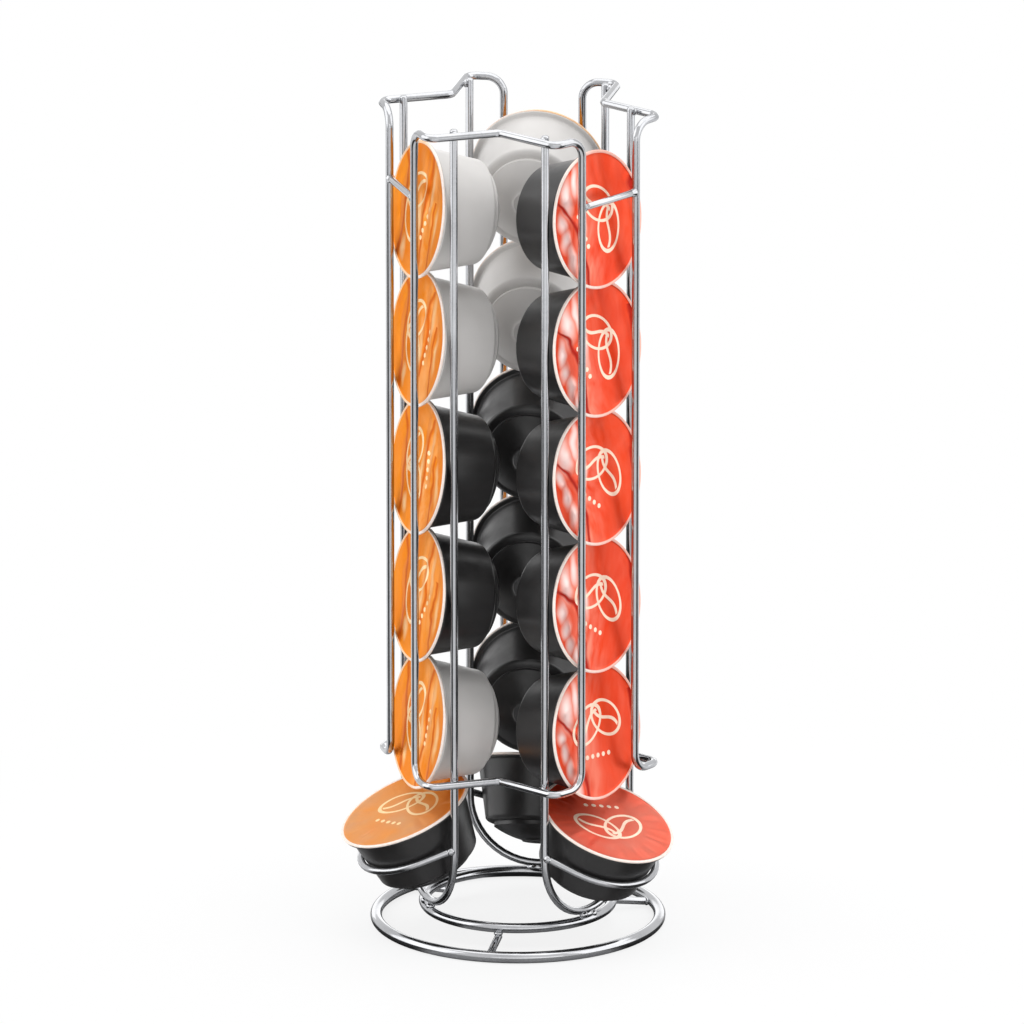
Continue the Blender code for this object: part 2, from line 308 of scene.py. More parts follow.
def rename(piece: Piece, name: str) -> Piece:
    """Names a piece and its mesh, and gives the piece back."""
    piece.name = piece.data.name = name
    return piece


def start_piece(name: str) -> Piece:
    """Takes the primitive that was just added, with its place in its mesh, into edit mode.

    Args:
        name: Name of the piece.

    Returns:
        The piece, with all its points selected.
    """
    piece = rename(bpy.context.object, name)
    bpy.ops.object.transform_apply(location=True, rotation=True, scale=True)
    bpy.ops.object.mode_set(mode="EDIT")
    bpy.ops.mesh.select_all(action="SELECT")
    return piece


def finish_piece(piece: Piece, sharp_angle: float) -> Piece:
    """Merges doubled points, turns every face outwards and shades the piece smooth.

    Args:
        piece: The mesh object, in either mode.
        sharp_angle: The angle between faces from which an edge stays sharp.

    Returns:
        The piece.
    """
    pick(piece)
    bpy.ops.object.mode_set(mode="EDIT")
    bpy.ops.mesh.select_all(action="SELECT")
    bpy.ops.mesh.remove_doubles(threshold=WELD_DISTANCE)
    bpy.ops.mesh.normals_make_consistent(inside=False)
    bpy.ops.object.mode_set(mode="OBJECT")
    bpy.ops.object.shade_smooth_by_angle(angle=sharp_angle)
    return piece


def join_pieces(pieces: list[Piece], name: str) -> Piece:
    """Joins meshes into one piece.

    Args:
        pieces: The meshes, of which the first one stays.
        name: Name of the joined piece.

    Returns:
        The joined piece.
    """
    pick(*pieces)
    bpy.ops.object.join()
    return rename(pieces[0], name)


def add_node(tree: bpy.types.NodeTree, kind: str, *values: object, **named: object) -> Node:
    """Adds a node, its kind given without the common beginning, and fills it."""
    return fill(tree.nodes.new(f"ShaderNode{kind}"), *values, **named)


def fill(node: Node, *values: object, **named: object) -> Node:
    """Sets a node's properties and feeds its inputs.

    Args:
        node: The node.
        values: What its inputs get in turn, each a term or a plain value.
        named: Properties by name, and inputs by a name with a capital, and underscores for spaces.

    Returns:
        The node.
    """
    for name in filter(str.islower, named):
        setattr(node, name, named[name])
    inputs = [(node.inputs[name.replace("_", " ")], named[name]) for name in named if not name.islower()]
    for socket, value in [*zip(node.inputs, values), *inputs]:
        if isinstance(value, Term):
            node.id_data.links.new(value.socket, socket)
        else:
            socket.default_value = value
    return node


@dataclass(frozen=True)
class Term:
    """A value in a node tree, with short forms for the nodes that take it in."""

    socket: bpy.types.NodeSocket

    def then(self, kind: str, *values: object, **named: object) -> "Term":
        """What comes out of a new node that takes this value first, and is given as for add_node."""
        node = add_node(self.socket.id_data, kind, self, *values, **named)
        return Term(next(output for output in node.outputs if output.enabled))

    def reckon(self, operation: str, *others: "Term | float") -> "Term":
        """Result of a Math node on this value and the others."""
        return self.then("Math", *others, operation=operation)

    __add__ = partialmethod(reckon, "ADD")
    __sub__ = partialmethod(reckon, "SUBTRACT")
    __mul__ = partialmethod(reckon, "MULTIPLY")
    __truediv__ = partialmethod(reckon, "DIVIDE")
    __pow__ = partialmethod(reckon, "POWER")
    __abs__ = partialmethod(reckon, "ABSOLUTE")
    __lt__ = partialmethod(reckon, "LESS_THAN")
    __gt__ = partialmethod(reckon, "GREATER_THAN")
    at_least = partialmethod(reckon, "MAXIMUM")
    at_most = partialmethod(reckon, "MINIMUM")

    def __rsub__(self, other: float) -> "Term":
        """A number less this value."""
        return self.reckon("MULTIPLY_ADD", -1.0, other)

    def parts(self) -> list["Term"]:
        """The three parts of a place."""
        return [Term(output) for output in add_node(self.socket.id_data, "SeparateXYZ", self).outputs]

    def grain(self, scale: float, detail: float) -> "Term":
        """Soft noise at a place, with so many grains in a metre and so many finer layers."""
        return self.then("TexNoise", Scale=scale, Detail=detail)

    def ramp(self, start: float, end: float, low: float, high: float, **settings: str) -> "Term":
        """Goes from low to high as this value goes from start to end, and no further."""
        return self.then("MapRange", start, end, low, high, **settings)

    def span(self, low: float, high: float) -> "Term":
        """Stretches noise, whose useful range is 0.3 to 0.7, to another range."""
        return self.ramp(0.3, 0.7, low, high)

    def mix(self, first: object, second: object) -> "Term":
        """Mixes two colours, of which the second has this share."""
        return self.then("Mix", data_type="RGBA", A=first, B=second)


class NodeSheet:
    """The nodes of a material or of the world."""

    def __init__(self, owner: Material | bpy.types.World) -> None:
        """Opens the nodes, which start as one shader and the output.

        Args:
            owner: What the nodes belong to.
        """
        owner.use_nodes = True
        self.owner = owner
        self.tree = owner.node_tree
        self.shader = next(node for node in self.tree.nodes if node.outputs)
        self.output = next(node for node in self.tree.nodes if not node.outputs)

    def point(self) -> Term:
        """Place on the piece, in the model's frame."""
        return Term(add_node(self.tree, "TexCoord").outputs["Object"])

    def lid_place(self, layer: str, width: float) -> list[Term]:
        """Place across and up a lid from its middle, on a UV map that is stretched to a width."""
        place = Term(add_node(self.tree, "UVMap", uv_map=layer).outputs["UV"])
        return [(part - 0.5) * width for part in place.parts()[:2]]

    def ray(self, kind: str) -> Term:
        """1 for rays of one kind."""
        return Term(add_node(self.tree, "LightPath").outputs[kind])

    def set(self, **values: object) -> None:
        """Sets the shader's inputs, named as for fill."""
        fill(self.shader, **values)

    def bump(self, height: Term, depth: float, strength: float) -> None:
        """Gives the shader a relief so many metres deep, of which a share shows."""
        relief = add_node(self.tree, "Bump", Strength=strength, Distance=depth, Height=height)
        self.set(Normal=Term(relief.outputs["Normal"]))

    def blend(self, share: Term, first: Node, second: Node) -> None:
        """Sends a mix of two shaders, of which the second has this share, to the output."""
        shaders = (Term(node.outputs[0]) for node in (first, second))
        fill(self.output, Surface=share.then("MixShader", *shaders))


def material_sheet(name: str) -> NodeSheet:
    """Nodes of a new material."""
    return NodeSheet(bpy.data.materials.new(name))


@dataclass(frozen=True)
class ChromeFinish:
    """Bright chrome plate on drawn wire, a little uneven as plating is.

    A grain is how many there are in a metre, and its finer layers. A relief is its depth in metres, and
    how much of it shows. So are those of the other finishes.
    """

    bright: Quad = (0.51, 0.515, 0.53, 1)
    dull: Quad = (0.39, 0.395, 0.41, 1)
    roughness: Pair = (0.08, 0.15)
    clouds: Pair = (60.0, 3.0)
    flecks: Pair = (900.0, 4.0)
    fleck_range: Pair = (0.4, 1.0)
    waves: Pair = (260.0, 2.0)
    relief: Pair = (0.00006, 0.14)

    def build(self) -> Material:
        """Builds the material."""
        sheet = material_sheet("chrome_plate")
        point = sheet.point()
        cloud = point.grain(*self.clouds)
        uneven = cloud.span(0.0, 1.0) * point.grain(*self.flecks).span(*self.fleck_range)
        sheet.set(Base_Color=uneven.mix(self.bright, self.dull), Metallic=1.0)
        sheet.set(Roughness=cloud.span(*self.roughness))
        sheet.bump(point.grain(*self.waves), *self.relief)
        return sheet.owner


@dataclass(frozen=True)
class CupFinish:
    """Satin moulded plastic with a fine mould grain and faint flow marks."""

    tone: CupTone
    base: Quad
    flow: Quad
    roughness: Pair
    shine: float
    flow_marks: Pair = (45.0, 3.0)
    wear: Pair = (220.0, 4.0)
    mould_grain: Pair = (3200.0, 2.0)
    relief: Pair = (0.00004, 0.10)

    def build(self) -> Material:
        """Builds the material."""
        sheet = material_sheet(self.tone.value)
        point = sheet.point()
        sheet.set(Base_Color=point.grain(*self.flow_marks).span(0.0, 1.0).mix(self.base, self.flow))
        sheet.set(Roughness=point.grain(*self.wear).span(*self.roughness), Specular_IOR_Level=self.shine)
        sheet.bump(point.grain(*self.mould_grain), *self.relief)
        return sheet.owner


@dataclass(frozen=True)
class RimFinish:
    """Bare sealing edge of the foil, cream white, going over to a tone near the lacquer's on one side of the
    lid.
    """

    tone: FoilTone
    lacquered: Quad
    run_edges: Pair
    cream: Quad = (0.90, 0.82, 0.76, 1)
    shade: Quad = (0.86, 0.68, 0.58, 1)
    run_share: float = 0.72
    mottling: Pair = (700.0, 3.0)
    roughness: Pair = (0.28, 0.42)
    metal: float = 0.15
    relief: Pair = (0.00005, 0.4)

    def build(self) -> Material:
        """Builds the material."""
        sheet = material_sheet(f"{self.tone.value}_rim")
        mottle = sheet.point().grain(*self.mottling)
        across = sheet.lid_place(FACE_LAYER, FACE_WIDTH)[0]
        # Towards one side of the lid the rim goes over to a tone near the lacquer's.
        run = across.ramp(*self.run_edges, 0.0, self.run_share) * (across < OFF_LID)
        pale = mottle.span(0.0, 0.7).mix(self.cream, self.shade)
        sheet.set(Base_Color=run.mix(pale, self.lacquered), Metallic=self.metal)
        sheet.set(Roughness=mottle.span(*self.roughness))
        sheet.bump(mottle, *self.relief)
        return sheet.owner


@dataclass(frozen=True)
class BeanPrint:
    """Generic print of the lids: two coffee beans over a row of strength dots, in cream.

    Its lengths are in millimetres on the lid's own plan.
    """

    bean_half_length: float = 9.4
    bean_half_width: float = 6.2
    line: float = 1.35
    bean_tilts: Pair = (math.radians(38.0), math.radians(-32.0))
    bean_centres: tuple[Pair, Pair] = ((-5.4, 3.2), (6.0, 4.6))
    seam_swing: float = 1.3
    seam_reach: float = 0.86
    dot_pitch: float = 3.3
    dot_radius: float = 0.95
    dot_row: float = -9.6
    dots: int = 5

    def bean(self, x: Term, y: Term, tilt: float, centre: Pair) -> Term:
        """Mask of one bean's outline and seam.

        Args:
            x: Place across the lid.
            y: Place up the lid.
            tilt: How far the bean is turned.
            centre: Its middle.

        Returns:
            The mask.
        """
        cosine, sine = math.cos(tilt), math.sin(tilt)
        from_x, from_y = x - centre[0], y - centre[1]
        across = from_y * cosine - from_x * sine
        along = (from_x * cosine + from_y * sine) / self.bean_half_length
        distance = (along**2.0 + (across / self.bean_half_width) ** 2.0).reckon("SQRT")
        outline = abs(distance - 1.0) < self.line / (self.bean_half_length + self.bean_half_width)
        swing = (along * math.pi).reckon("SINE") * self.seam_swing
        seam = abs(across - swing) < self.line / 2
        return outline.at_least(seam * (distance < self.seam_reach))

    def mask(self, x: Term, y: Term) -> Term:
        """Mask of the whole print.

        Args:
            x: Place across the lid.
            y: Place up the lid.

        Returns:
            The mask, 1 where there is print.
        """
        half_pitch = self.dot_pitch / 2
        beans = [self.bean(x, y, *shape) for shape in zip(self.bean_tilts, self.bean_centres)]
        from_middle = half_pitch - (x + half_pitch).reckon("PINGPONG", half_pitch)
        dot = (from_middle**2.0 + (y - self.dot_row) ** 2.0).reckon("SQRT") < self.dot_radius
        row = abs(x) < half_pitch * self.dots
        return beans[0].at_least(beans[1]).at_least(dot * row)


@dataclass(frozen=True)
class FoilFinish:
    """Lacquered foil with its print and a soft crumple, with painted sheen in pale upright streaks, painted
    glints, painted shade along its folds, and a painted reflection on the tray lids.

    Places on the face are shares of the lid's radius. A fold's line of painted shade has its foot, the swing
    and the height of its top, and its width. A painted glint has its middle and its half sizes.
    """

    tone: FoilTone
    lacquer: Quad
    deep: Quad
    # Colour of the painted sheen in the streaks, and of the pale halo round the painted glints.
    bloom: Quad
    shadow: Quad
    sheen: Quad
    # Colour of the painted reflection on the tray lids.
    haze_tone: Quad
    ink: Quad
    glint: Quad
    metal: float
    streak_middle: float
    streak_reach: float
    folds: tuple[Quad, ...]
    glints: tuple[Quad, ...]
    motif: BeanPrint = BeanPrint()
    clouds: Pair = (42.0, 2.0)
    cloud_share: float = 0.8
    shifts: tuple[Pair, Pair] = ((55.0, 2.0), (71.0, 2.0))
    shift: float = 0.07
    streak_stretch: Triple = (4.5, 0.9, 30.0)
    streak_seed: Pair = (9.0, 0.0)
    streak_grain: Pair = (1.0, 2.0)
    streak_shares: Pair = (0.8, 0.15)
    # Where the painted reflection on the tray lids fades out, its patches and its range.
    haze_top: float = 0.70
    haze_fade: float = 0.8
    haze_patches: Pair = (70.0, 3.0)
    haze_range: Pair = (0.45, 0.95)
    fold_fall: float = -3.0
    fold_edge: float = 1.3
    # Shares of the painted highlights' pale halo and near-white glints, and how tightly the glints gather.
    halo: float = 0.80
    core: float = 0.90
    core_power: float = 2.2
    wear: Pair = (130.0, 2.0)
    roughness: Pair = (0.30, 0.42)
    specular: float = 0.20
    coat: Pair = (0.07, 0.08)
    crumple: Pair = (150.0, 1.5)
    print_height: float = 0.10
    relief: Pair = (0.00030, 0.45)

    def build(self) -> Material:
        """Builds the material."""
        sheet = material_sheet(self.tone.value)
        point = sheet.point()
        x, y = sheet.lid_place(PRINT_LAYER, RackPlan.lid_diameter / MILLIMETRE)
        across, up = self.face_place(sheet, point)
        mask = self.motif.mask(x, y)
        tone = point.grain(*self.clouds).span(0.0, self.cloud_share).mix(self.lacquer, self.deep)
        # Painted sheen: pale upright streaks mixed into the lacquer's colour in place of reflected light.
        tone = self.streaks(point, across, up).mix(tone, self.bloom)
        # Painted reflection: a pale, patchy glow on the tray lids' lower halves, in place of a lamp's
        # reflection.
        tone = self.haze(point, across, up).mix(tone, self.haze_tone)
        # Painted highlights: a pale halo and near-white glints beside the fold, in place of light caught on
        # the foil's bumps.
        glint_mask = self.blisters(across, up)
        tone = (glint_mask.reckon("SQRT") * self.halo).mix(tone, self.bloom)
        tone = (glint_mask**self.core_power * self.core).mix(tone, self.glint)
        # Painted shade: dark lines along the folds, where shade falls in the creases.
        for fold in self.folds:
            tone = self.fold_line(fold, across, up).mix(tone, self.shadow)
        sheet.set(Base_Color=mask.mix(tone, self.ink), Metallic=self.metal)
        sheet.set(Specular_IOR_Level=self.specular, Specular_Tint=self.sheen)
        sheet.set(Roughness=point.grain(*self.wear).span(*self.roughness))
        sheet.set(Coat_Weight=self.coat[0], Coat_Roughness=self.coat[1])
        sheet.bump(point.grain(*self.crumple) + mask * self.print_height, *self.relief)
        return sheet.owner

    def face_place(self, sheet: NodeSheet, point: Term) -> list[Term]:
        """Place across and up the face, shifted a little to make each lid its own."""
        places = zip(sheet.lid_place(FACE_LAYER, FACE_WIDTH), self.shifts)
        return [part + point.grain(*grain).span(-self.shift, self.shift) for part, grain in places]

    def streaks(self, point: Term, across: Term, up: Term) -> Term:
        """Mask of the painted sheen, pale upright streaks strongest along one band of the lid.

        Args:
            point: Place on the piece.
            across: Place across the face.
            up: Place up the face.

        Returns:
            The mask.
        """
        band = (1.0 - abs(across - self.streak_middle) / self.streak_reach).at_least(0.0)
        wide, tall, apart = self.streak_stretch
        seed = point.grain(*self.streak_seed) * apart
        streak = (across * wide).then("CombineXYZ", up * tall, seed).grain(*self.streak_grain).span(0.0, 1.0)
        return (band * self.streak_shares[0] + self.streak_shares[1]) * streak

    def haze(self, point: Term, across: Term, up: Term) -> Term:
        """Mask of the painted reflection, pale and patchy, on the lower half of a tray capsule's lid."""
        fade = ((self.haze_top - up) / self.haze_fade).at_least(0.0).at_most(1.0)
        return fade * (across > OFF_LID) * point.grain(*self.haze_patches).span(*self.haze_range)

    def fold_line(self, fold: Quad, across: Term, up: Term) -> Term:
        """Mask of the painted shade along a sharp fold that runs down the lid and may swing out to the rim at
        its top.

        Args:
            fold: The fold.
            across: Place across the face.
            up: Place up the face.

        Returns:
            The mask.
        """
        foot, swing, top, width = fold
        fallen = top - up
        away = abs(across - ((fallen * self.fold_fall).reckon("EXPONENT") * swing + foot))
        return (self.fold_edge - away / width).at_least(0.0).at_most(1.0) * (fallen > 0.0)

    def blisters(self, across: Term, up: Term) -> Term:
        """Mask of the painted highlights beside the fold, from 0 to 1, in place of light caught on the foil's
        bumps.

        Args:
            across: Place across the face.
            up: Place up the face.

        Returns:
            The mask.
        """
        glint_mask = None
        for x, y, half_width, half_height in self.glints:
            squares = ((across - x) / half_width) ** 2.0 + ((up - y) / half_height) ** 2.0
            spot = (1.0 - squares).at_least(0.0)
            glint_mask = spot if glint_mask is None else glint_mask.at_least(spot)
        return glint_mask


RIMS = (
    RimFinish(FoilTone.RED, (0.88, 0.34, 0.25, 1), (-0.55, 0.05)),
    RimFinish(FoilTone.ORANGE, (0.90, 0.50, 0.20, 1), (0.30, -0.10)),
)
CUPS = (
    CupFinish(CupTone.WHITE, (0.63, 0.61, 0.59, 1), (0.57, 0.55, 0.53, 1), (0.34, 0.46), 0.45),
    CupFinish(CupTone.BLACK, (0.016, 0.015, 0.015, 1), (0.023, 0.022, 0.022, 1), (0.28, 0.40), 0.56),
)
FOILS = (
    FoilFinish(
        FoilTone.ORANGE,
        lacquer=(0.86, 0.27, 0.008, 1),
        deep=(0.80, 0.20, 0.002, 1),
        bloom=(0.90, 0.44, 0.18, 1),
        shadow=(0.62, 0.12, 0.002, 1),
        sheen=(1.0, 0.60, 0.18, 1),
        haze_tone=(0.64, 0.34, 0.19, 1),
        ink=(0.96, 0.74, 0.46, 1),
        glint=(0.97, 0.66, 0.36, 1),
        metal=0.66,
        streak_middle=0.35,
        streak_reach=0.55,
        folds=((0.26, 0.12, 0.85, 0.045), (-0.48, -0.20, 0.72, 0.05), (0.62, 0.0, 0.30, 0.03)),
        glints=(
            (0.46, 0.34, 0.09, 0.50),
            (0.12, -0.12, 0.08, 0.42),
            (0.74, -0.10, 0.07, 0.40),
            (-0.35, -0.62, 0.09, 0.20),
        ),
    ),
    FoilFinish(
        FoilTone.RED,
        lacquer=(0.82, 0.062, 0.014, 1),
        deep=(0.74, 0.034, 0.005, 1),
        bloom=(0.90, 0.28, 0.19, 1),
        shadow=(0.42, 0.010, 0.003, 1),
        sheen=(1.0, 0.62, 0.50, 1),
        haze_tone=(0.62, 0.16, 0.11, 1),
        ink=(0.96, 0.74, 0.58, 1),
        glint=(1.0, 0.82, 0.78, 1),
        metal=0.55,
        streak_middle=-0.32,
        streak_reach=0.46,
        folds=((-0.34, -0.58, 0.42, 0.05), (0.88, -0.06, 0.48, 0.05)),
        glints=(
            (-0.64, 0.46, 0.20, 0.40),
            (-0.82, 0.10, 0.14, 0.20),
            (-0.77, -0.16, 0.14, 0.22),
            (-0.68, -0.44, 0.13, 0.24),
            (-0.56, -0.68, 0.11, 0.20),
            (-0.30, 0.24, 0.10, 0.60),
            (-0.42, 0.62, 0.10, 0.34),
        ),
    ),
)


class Finishes:
    """Every material of the dispenser, built once."""

    def __init__(self) -> None:
        """Builds the materials."""
        self.chrome = ChromeFinish().build()
        self.rims, self.cups, self.foils = (
            {finish.tone: finish.build() for finish in finishes} for finishes in (RIMS, CUPS, FOILS)
        )


@dataclass
class WireFormer:
    """Round wire that is fed forward and bent, one run at a time, as on a bench."""

    name: str
    gauge: float
    start: Vector
    heading: Vector
    bend_step: float = math.radians(7.5)
    sides: int = 24
    sharp_angle: float = math.radians(50.0)
    end_round_share: float = 0.28
    end_round_steps: int = 4
    piece: Piece = field(init=False)

    def __post_init__(self) -> None:
        """Draws the wire's round section at its start."""
        clear_selection()
        place = {"location": self.start, "rotation": self.heading.to_track_quat("Z", "Y").to_euler()}
        bpy.ops.mesh.primitive_circle_add(vertices=self.sides, radius=self.gauge / 2, **place)
        self.piece = start_piece(self.name)

    def feed(self, travel: Vector) -> None:
        """Feeds the wire straight on."""
        bpy.ops.mesh.extrude_edges_move(TRANSFORM_OT_translate={"value": travel})

    def bend(self, centre: Vector, axis: Vector, angle: float) -> None:
        """Bends the wire round a former's axis, by the right-hand rule."""
        steps = max(2, round(angle / self.bend_step))
        bpy.ops.mesh.spin(steps=steps, angle=angle, center=centre, axis=-axis)

    def follow(self, bends: list[Corner], end: Vector) -> None:
        """Feeds and bends the wire through its corners to its end.

        Args:
            bends: The corners in order, each a place and the radius of its bend.
            end: Where the wire ends.
        """
        position = self.start
        targets = [*(corner for corner, _ in bends[1:]), end]
        for (corner, radius), target in zip(bends, targets):
            before = (corner - position).normalized()
            after = (target - corner).normalized()
            angle = before.angle(after)
            tangent = radius * math.tan(angle / 2)
            axis = before.cross(after).normalized()
            entry = corner - before * tangent
            self.feed(entry - position)
            self.bend(entry + axis.cross(before) * radius, axis, angle)
            position = corner + after * tangent
        self.feed(end - position)

    def select_open_ends(self) -> None:
        """Selects the edges at the wire's open ends, and nothing else."""
        bpy.ops.object.mode_set(mode="OBJECT")
        for vertex in self.piece.data.vertices:
            vertex.select = False
        bpy.ops.object.mode_set(mode="EDIT")
        bpy.ops.mesh.select_mode(type="EDGE")
        bpy.ops.mesh.select_non_manifold(extend=False)

    def finish(self) -> Piece:
        """Closes the wire's seams."""
        return finish_piece(self.piece, self.sharp_angle)

    def finish_ends(self) -> Piece:
        """Closes both ends of an open wire and rounds their edges.

        Returns:
            The finished piece.
        """
        self.select_open_ends()
        bpy.ops.mesh.edge_face_add()
        bpy.ops.mesh.select_mode(type="FACE")
        bpy.ops.mesh.select_all(action="DESELECT")
        bpy.ops.mesh.select_face_by_sides(number=self.sides)
        offset = self.gauge * self.end_round_share
        bpy.ops.mesh.bevel(offset=offset, segments=self.end_round_steps, affect="EDGES")
        return self.finish()

    def finish_loop(self) -> Piece:
        """Joins the two ends of a closed wire.

        Returns:
            The finished piece.
        """
        self.select_open_ends()
        bpy.ops.mesh.bridge_edge_loops()
        return self.finish()


@dataclass
class TowerPart:
    """A group of chromed wires that ride on the tower."""

    plan: RackPlan
    finishes: Finishes
    body: str = "tower"

    def settle(self, piece: Piece, *nodes: str) -> None:
        """Dresses a finished wire, and lets it stand for its nodes.

        Args:
            piece: The wire.
            nodes: The frame's nodes that it stands for, if any.
        """
        piece.data.materials.clear()
        piece.data.materials.append(self.finishes.chrome)
        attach(piece, self.body)
        if nodes:
            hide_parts(*nodes)
        log.info("%s: %d faces", piece.name, len(piece.data.polygons))


@dataclass
class Base(TowerPart):
    """The two rings on the table and the spokes between them."""

    ring_step: float = math.radians(3.0)

    def ring(self, name: str, radius: float, height: float, gauge: float) -> None:
        """Bends one ring.

        Args:
            name: The frame's node.
            radius: Radius of the wire's middle line.
            height: Height of the middle line.
            gauge: The wire's diameter.
        """
        start = self.plan.place(Gap.LEFT.value, radius, 0, height)
        heading = out_and_side(Gap.LEFT.value)[1]
        former = WireFormer(f"{name}_chrome", gauge, start, heading, self.ring_step)
        former.bend(Vector((0, self.plan.axis_y, height)), UP, math.tau)
        self.settle(former.finish(), name)

    def spoke(self, gap: Gap) -> None:
        """Cuts the spoke that lies in a gap.

        Args:
            gap: The gap.
        """
        plan = self.plan
        outer_end = plan.outer_ring_radius - plan.outer_ring_wire / 2 - plan.seat_gap
        slope = (plan.spoke_inner_height - plan.spoke_outer_height) / (outer_end - plan.inner_ring_radius)
        inner_height = plan.spoke_inner_height + slope * plan.spoke_tail
        inner = plan.place(gap.value, plan.inner_ring_radius - plan.spoke_tail, 0, inner_height)
        outer = plan.place(gap.value, outer_end, 0, plan.spoke_outer_height)
        former = WireFormer(f"spoke_{gap.label}_chrome", plan.spoke_wire, inner, outer - inner)
        former.feed(outer - inner)
        self.settle(former.finish_ends(), f"spoke_{gap.label}")

    def build(self) -> None:
        """Builds the rings and the spokes."""
        plan = self.plan
        self.ring("outer_ring", plan.outer_ring_radius, plan.spoke_outer_height, plan.outer_ring_wire)
        self.ring("inner_ring", plan.inner_ring_radius, plan.inner_ring_height, plan.inner_ring_wire)
        for gap in Gap:
            self.spoke(gap)


@dataclass
class WindowFrames(TowerPart):
    """The three closed frames between the columns."""

    seam: Pair = (0.5, 0.52)

    def end_bends(self, gap: Gap, height: float) -> list[Corner]:
        """Corners of a frame's top or bottom end, from its left post to its right one.

        Args:
            gap: The gap that the frame stands in.
            height: Height of that end.

        Returns:
            The corners in order.
        """
        plan = self.plan
        halves = []
        for side in (-1, 1):
            column = gap.value + side * plan.half_sector
            post = plan.place(column, plan.post_radius, -side * plan.window_half, height)
            corner_radius = plan.post_radius - plan.corner_setback
            corner = plan.place(column, corner_radius, -side * plan.rail_half, height)
            halves.append([(post, plan.post_bend), (corner, plan.corner_bend)])
        crown = plan.place(gap.value, plan.rail_half / math.sin(plan.half_sector), 0, height)
        return [*halves[0], (crown, plan.crown_bend), *halves[1][::-1]]

    def build(self) -> None:
        """Builds the frames, each closed by a seam in the middle of its left post."""
        for gap in Gap:
            top = self.end_bends(gap, self.plan.frame_top)
            bottom = self.end_bends(gap, self.plan.frame_bottom)[::-1]
            start, end = (top[0][0].lerp(bottom[-1][0], share) for share in self.seam)
            former = WireFormer(f"frame_{gap.label}_chrome", self.plan.tower_wire, start, UP)
            former.follow([*top, *bottom], end)
            self.settle(former.finish_loop(), f"frame_{gap.label}")


class Guides(TowerPart):
    """The U-shaped guide wires, one for each column."""

    def build(self) -> None:
        """Builds the guides."""
        plan = self.plan
        for side in Side:
            height = plan.guide_foot_height + plan.guide_half
            start = plan.guided_place(side.value, plan.guide_radius, -plan.guide_half, plan.guide_top)
            foot = plan.guided_place(side.value, plan.guide_radius, -plan.guide_half, height)
            centre = plan.guided_place(side.value, plan.guide_radius, 0, height)
            across = (centre - foot).normalized()
            former = WireFormer(f"guide_{side.label}_chrome", plan.tower_wire, start, -UP)
            former.feed(foot - start)
            former.bend(centre, across.cross(UP), math.pi)
            former.feed(start - foot)
            self.settle(former.finish_ends(), f"guide_{side.label}")


class Bars(TowerPart):
    """The retaining bars across the tops of the columns."""

    def half_length(self) -> float:
        """Half of a bar's length, up to the posts."""
        return self.plan.window_half - self.plan.tower_wire / 2 - self.plan.seat_gap

    def build(self) -> None:
        """Builds the bars."""
        plan = self.plan
        half = self.half_length()
        for side in Side:
            start, end = (plan.place(side.value, plan.post_radius, x, plan.bar_height) for x in (-half, half))
            former = WireFormer(f"bar_{side.label}_chrome", plan.bar_wire, start, end - start)
            former.feed(end - start)
            self.settle(former.finish_ends(), f"bar_{side.label}")


class Trays(TowerPart):
    """The horseshoe wires that hold the tray capsules, each in the plane of its slope."""

    def axis_radius(self) -> float:
        """Distance of the tray capsule's axis, at the wire, from the tower's."""
        return self.plan.tray_lid_radius - self.plan.tray_wire_depth * math.sin(self.plan.tray_slope)

    def sloped(self, side: Side, along: float, lateral: float) -> Vector:
        """Point in a tray's plane, from the capsule's axis.

        Args:
            side: Column of the tray.
            along: Distance down the slope.
            lateral: Distance to the side.

        Returns:
            The point in the model's frame.
        """
        sine, cosine = math.sin(self.plan.tray_slope), math.cos(self.plan.tray_slope)
        height = self.plan.tray_lid_height - self.plan.tray_wire_depth * cosine - along * sine
        return self.plan.guided_place(side.value, self.axis_radius() + along * cosine, lateral, height)

    def end_along(self) -> float:
        """How far down the slope the wire's ends lie, beside the guide wires."""
        plan = self.plan
        cap_lean = plan.tray_wire / 2 * math.sin(plan.tray_slope)
        end_radius = plan.guide_radius + plan.tower_wire / 2 + plan.seat_gap + cap_lean
        return (end_radius - self.axis_radius()) / math.cos(plan.tray_slope)

    def build(self) -> None:
        """Builds the trays."""
        plan = self.plan
        along = self.end_along()
        arc_radius = plan.wall_radius(plan.tray_wire_depth) + plan.seat_gap + plan.tray_wire / 2
        reach = math.acos(arc_radius / math.hypot(along, plan.guide_half))
        half_arc = math.atan2(plan.guide_half, along) - reach
        arc_along, arc_half = arc_radius * math.cos(half_arc), arc_radius * math.sin(half_arc)
        for side in Side:
            start, end = (self.sloped(side, along, x) for x in (-plan.guide_half, plan.guide_half))
            first, last = (self.sloped(side, arc_along, x) for x in (-arc_half, arc_half))
            centre = self.sloped(side, 0, 0)
            axis = (first - centre).cross(self.sloped(side, arc_radius, 0) - centre).normalized()
            former = WireFormer(f"tray_{side.label}_chrome", plan.tray_wire, start, first - start)
            former.feed(first - start)
            former.bend(centre, axis, 2 * half_arc)
            former.feed(end - last)
            self.settle(former.finish_ends(), f"tray_{side.label}")


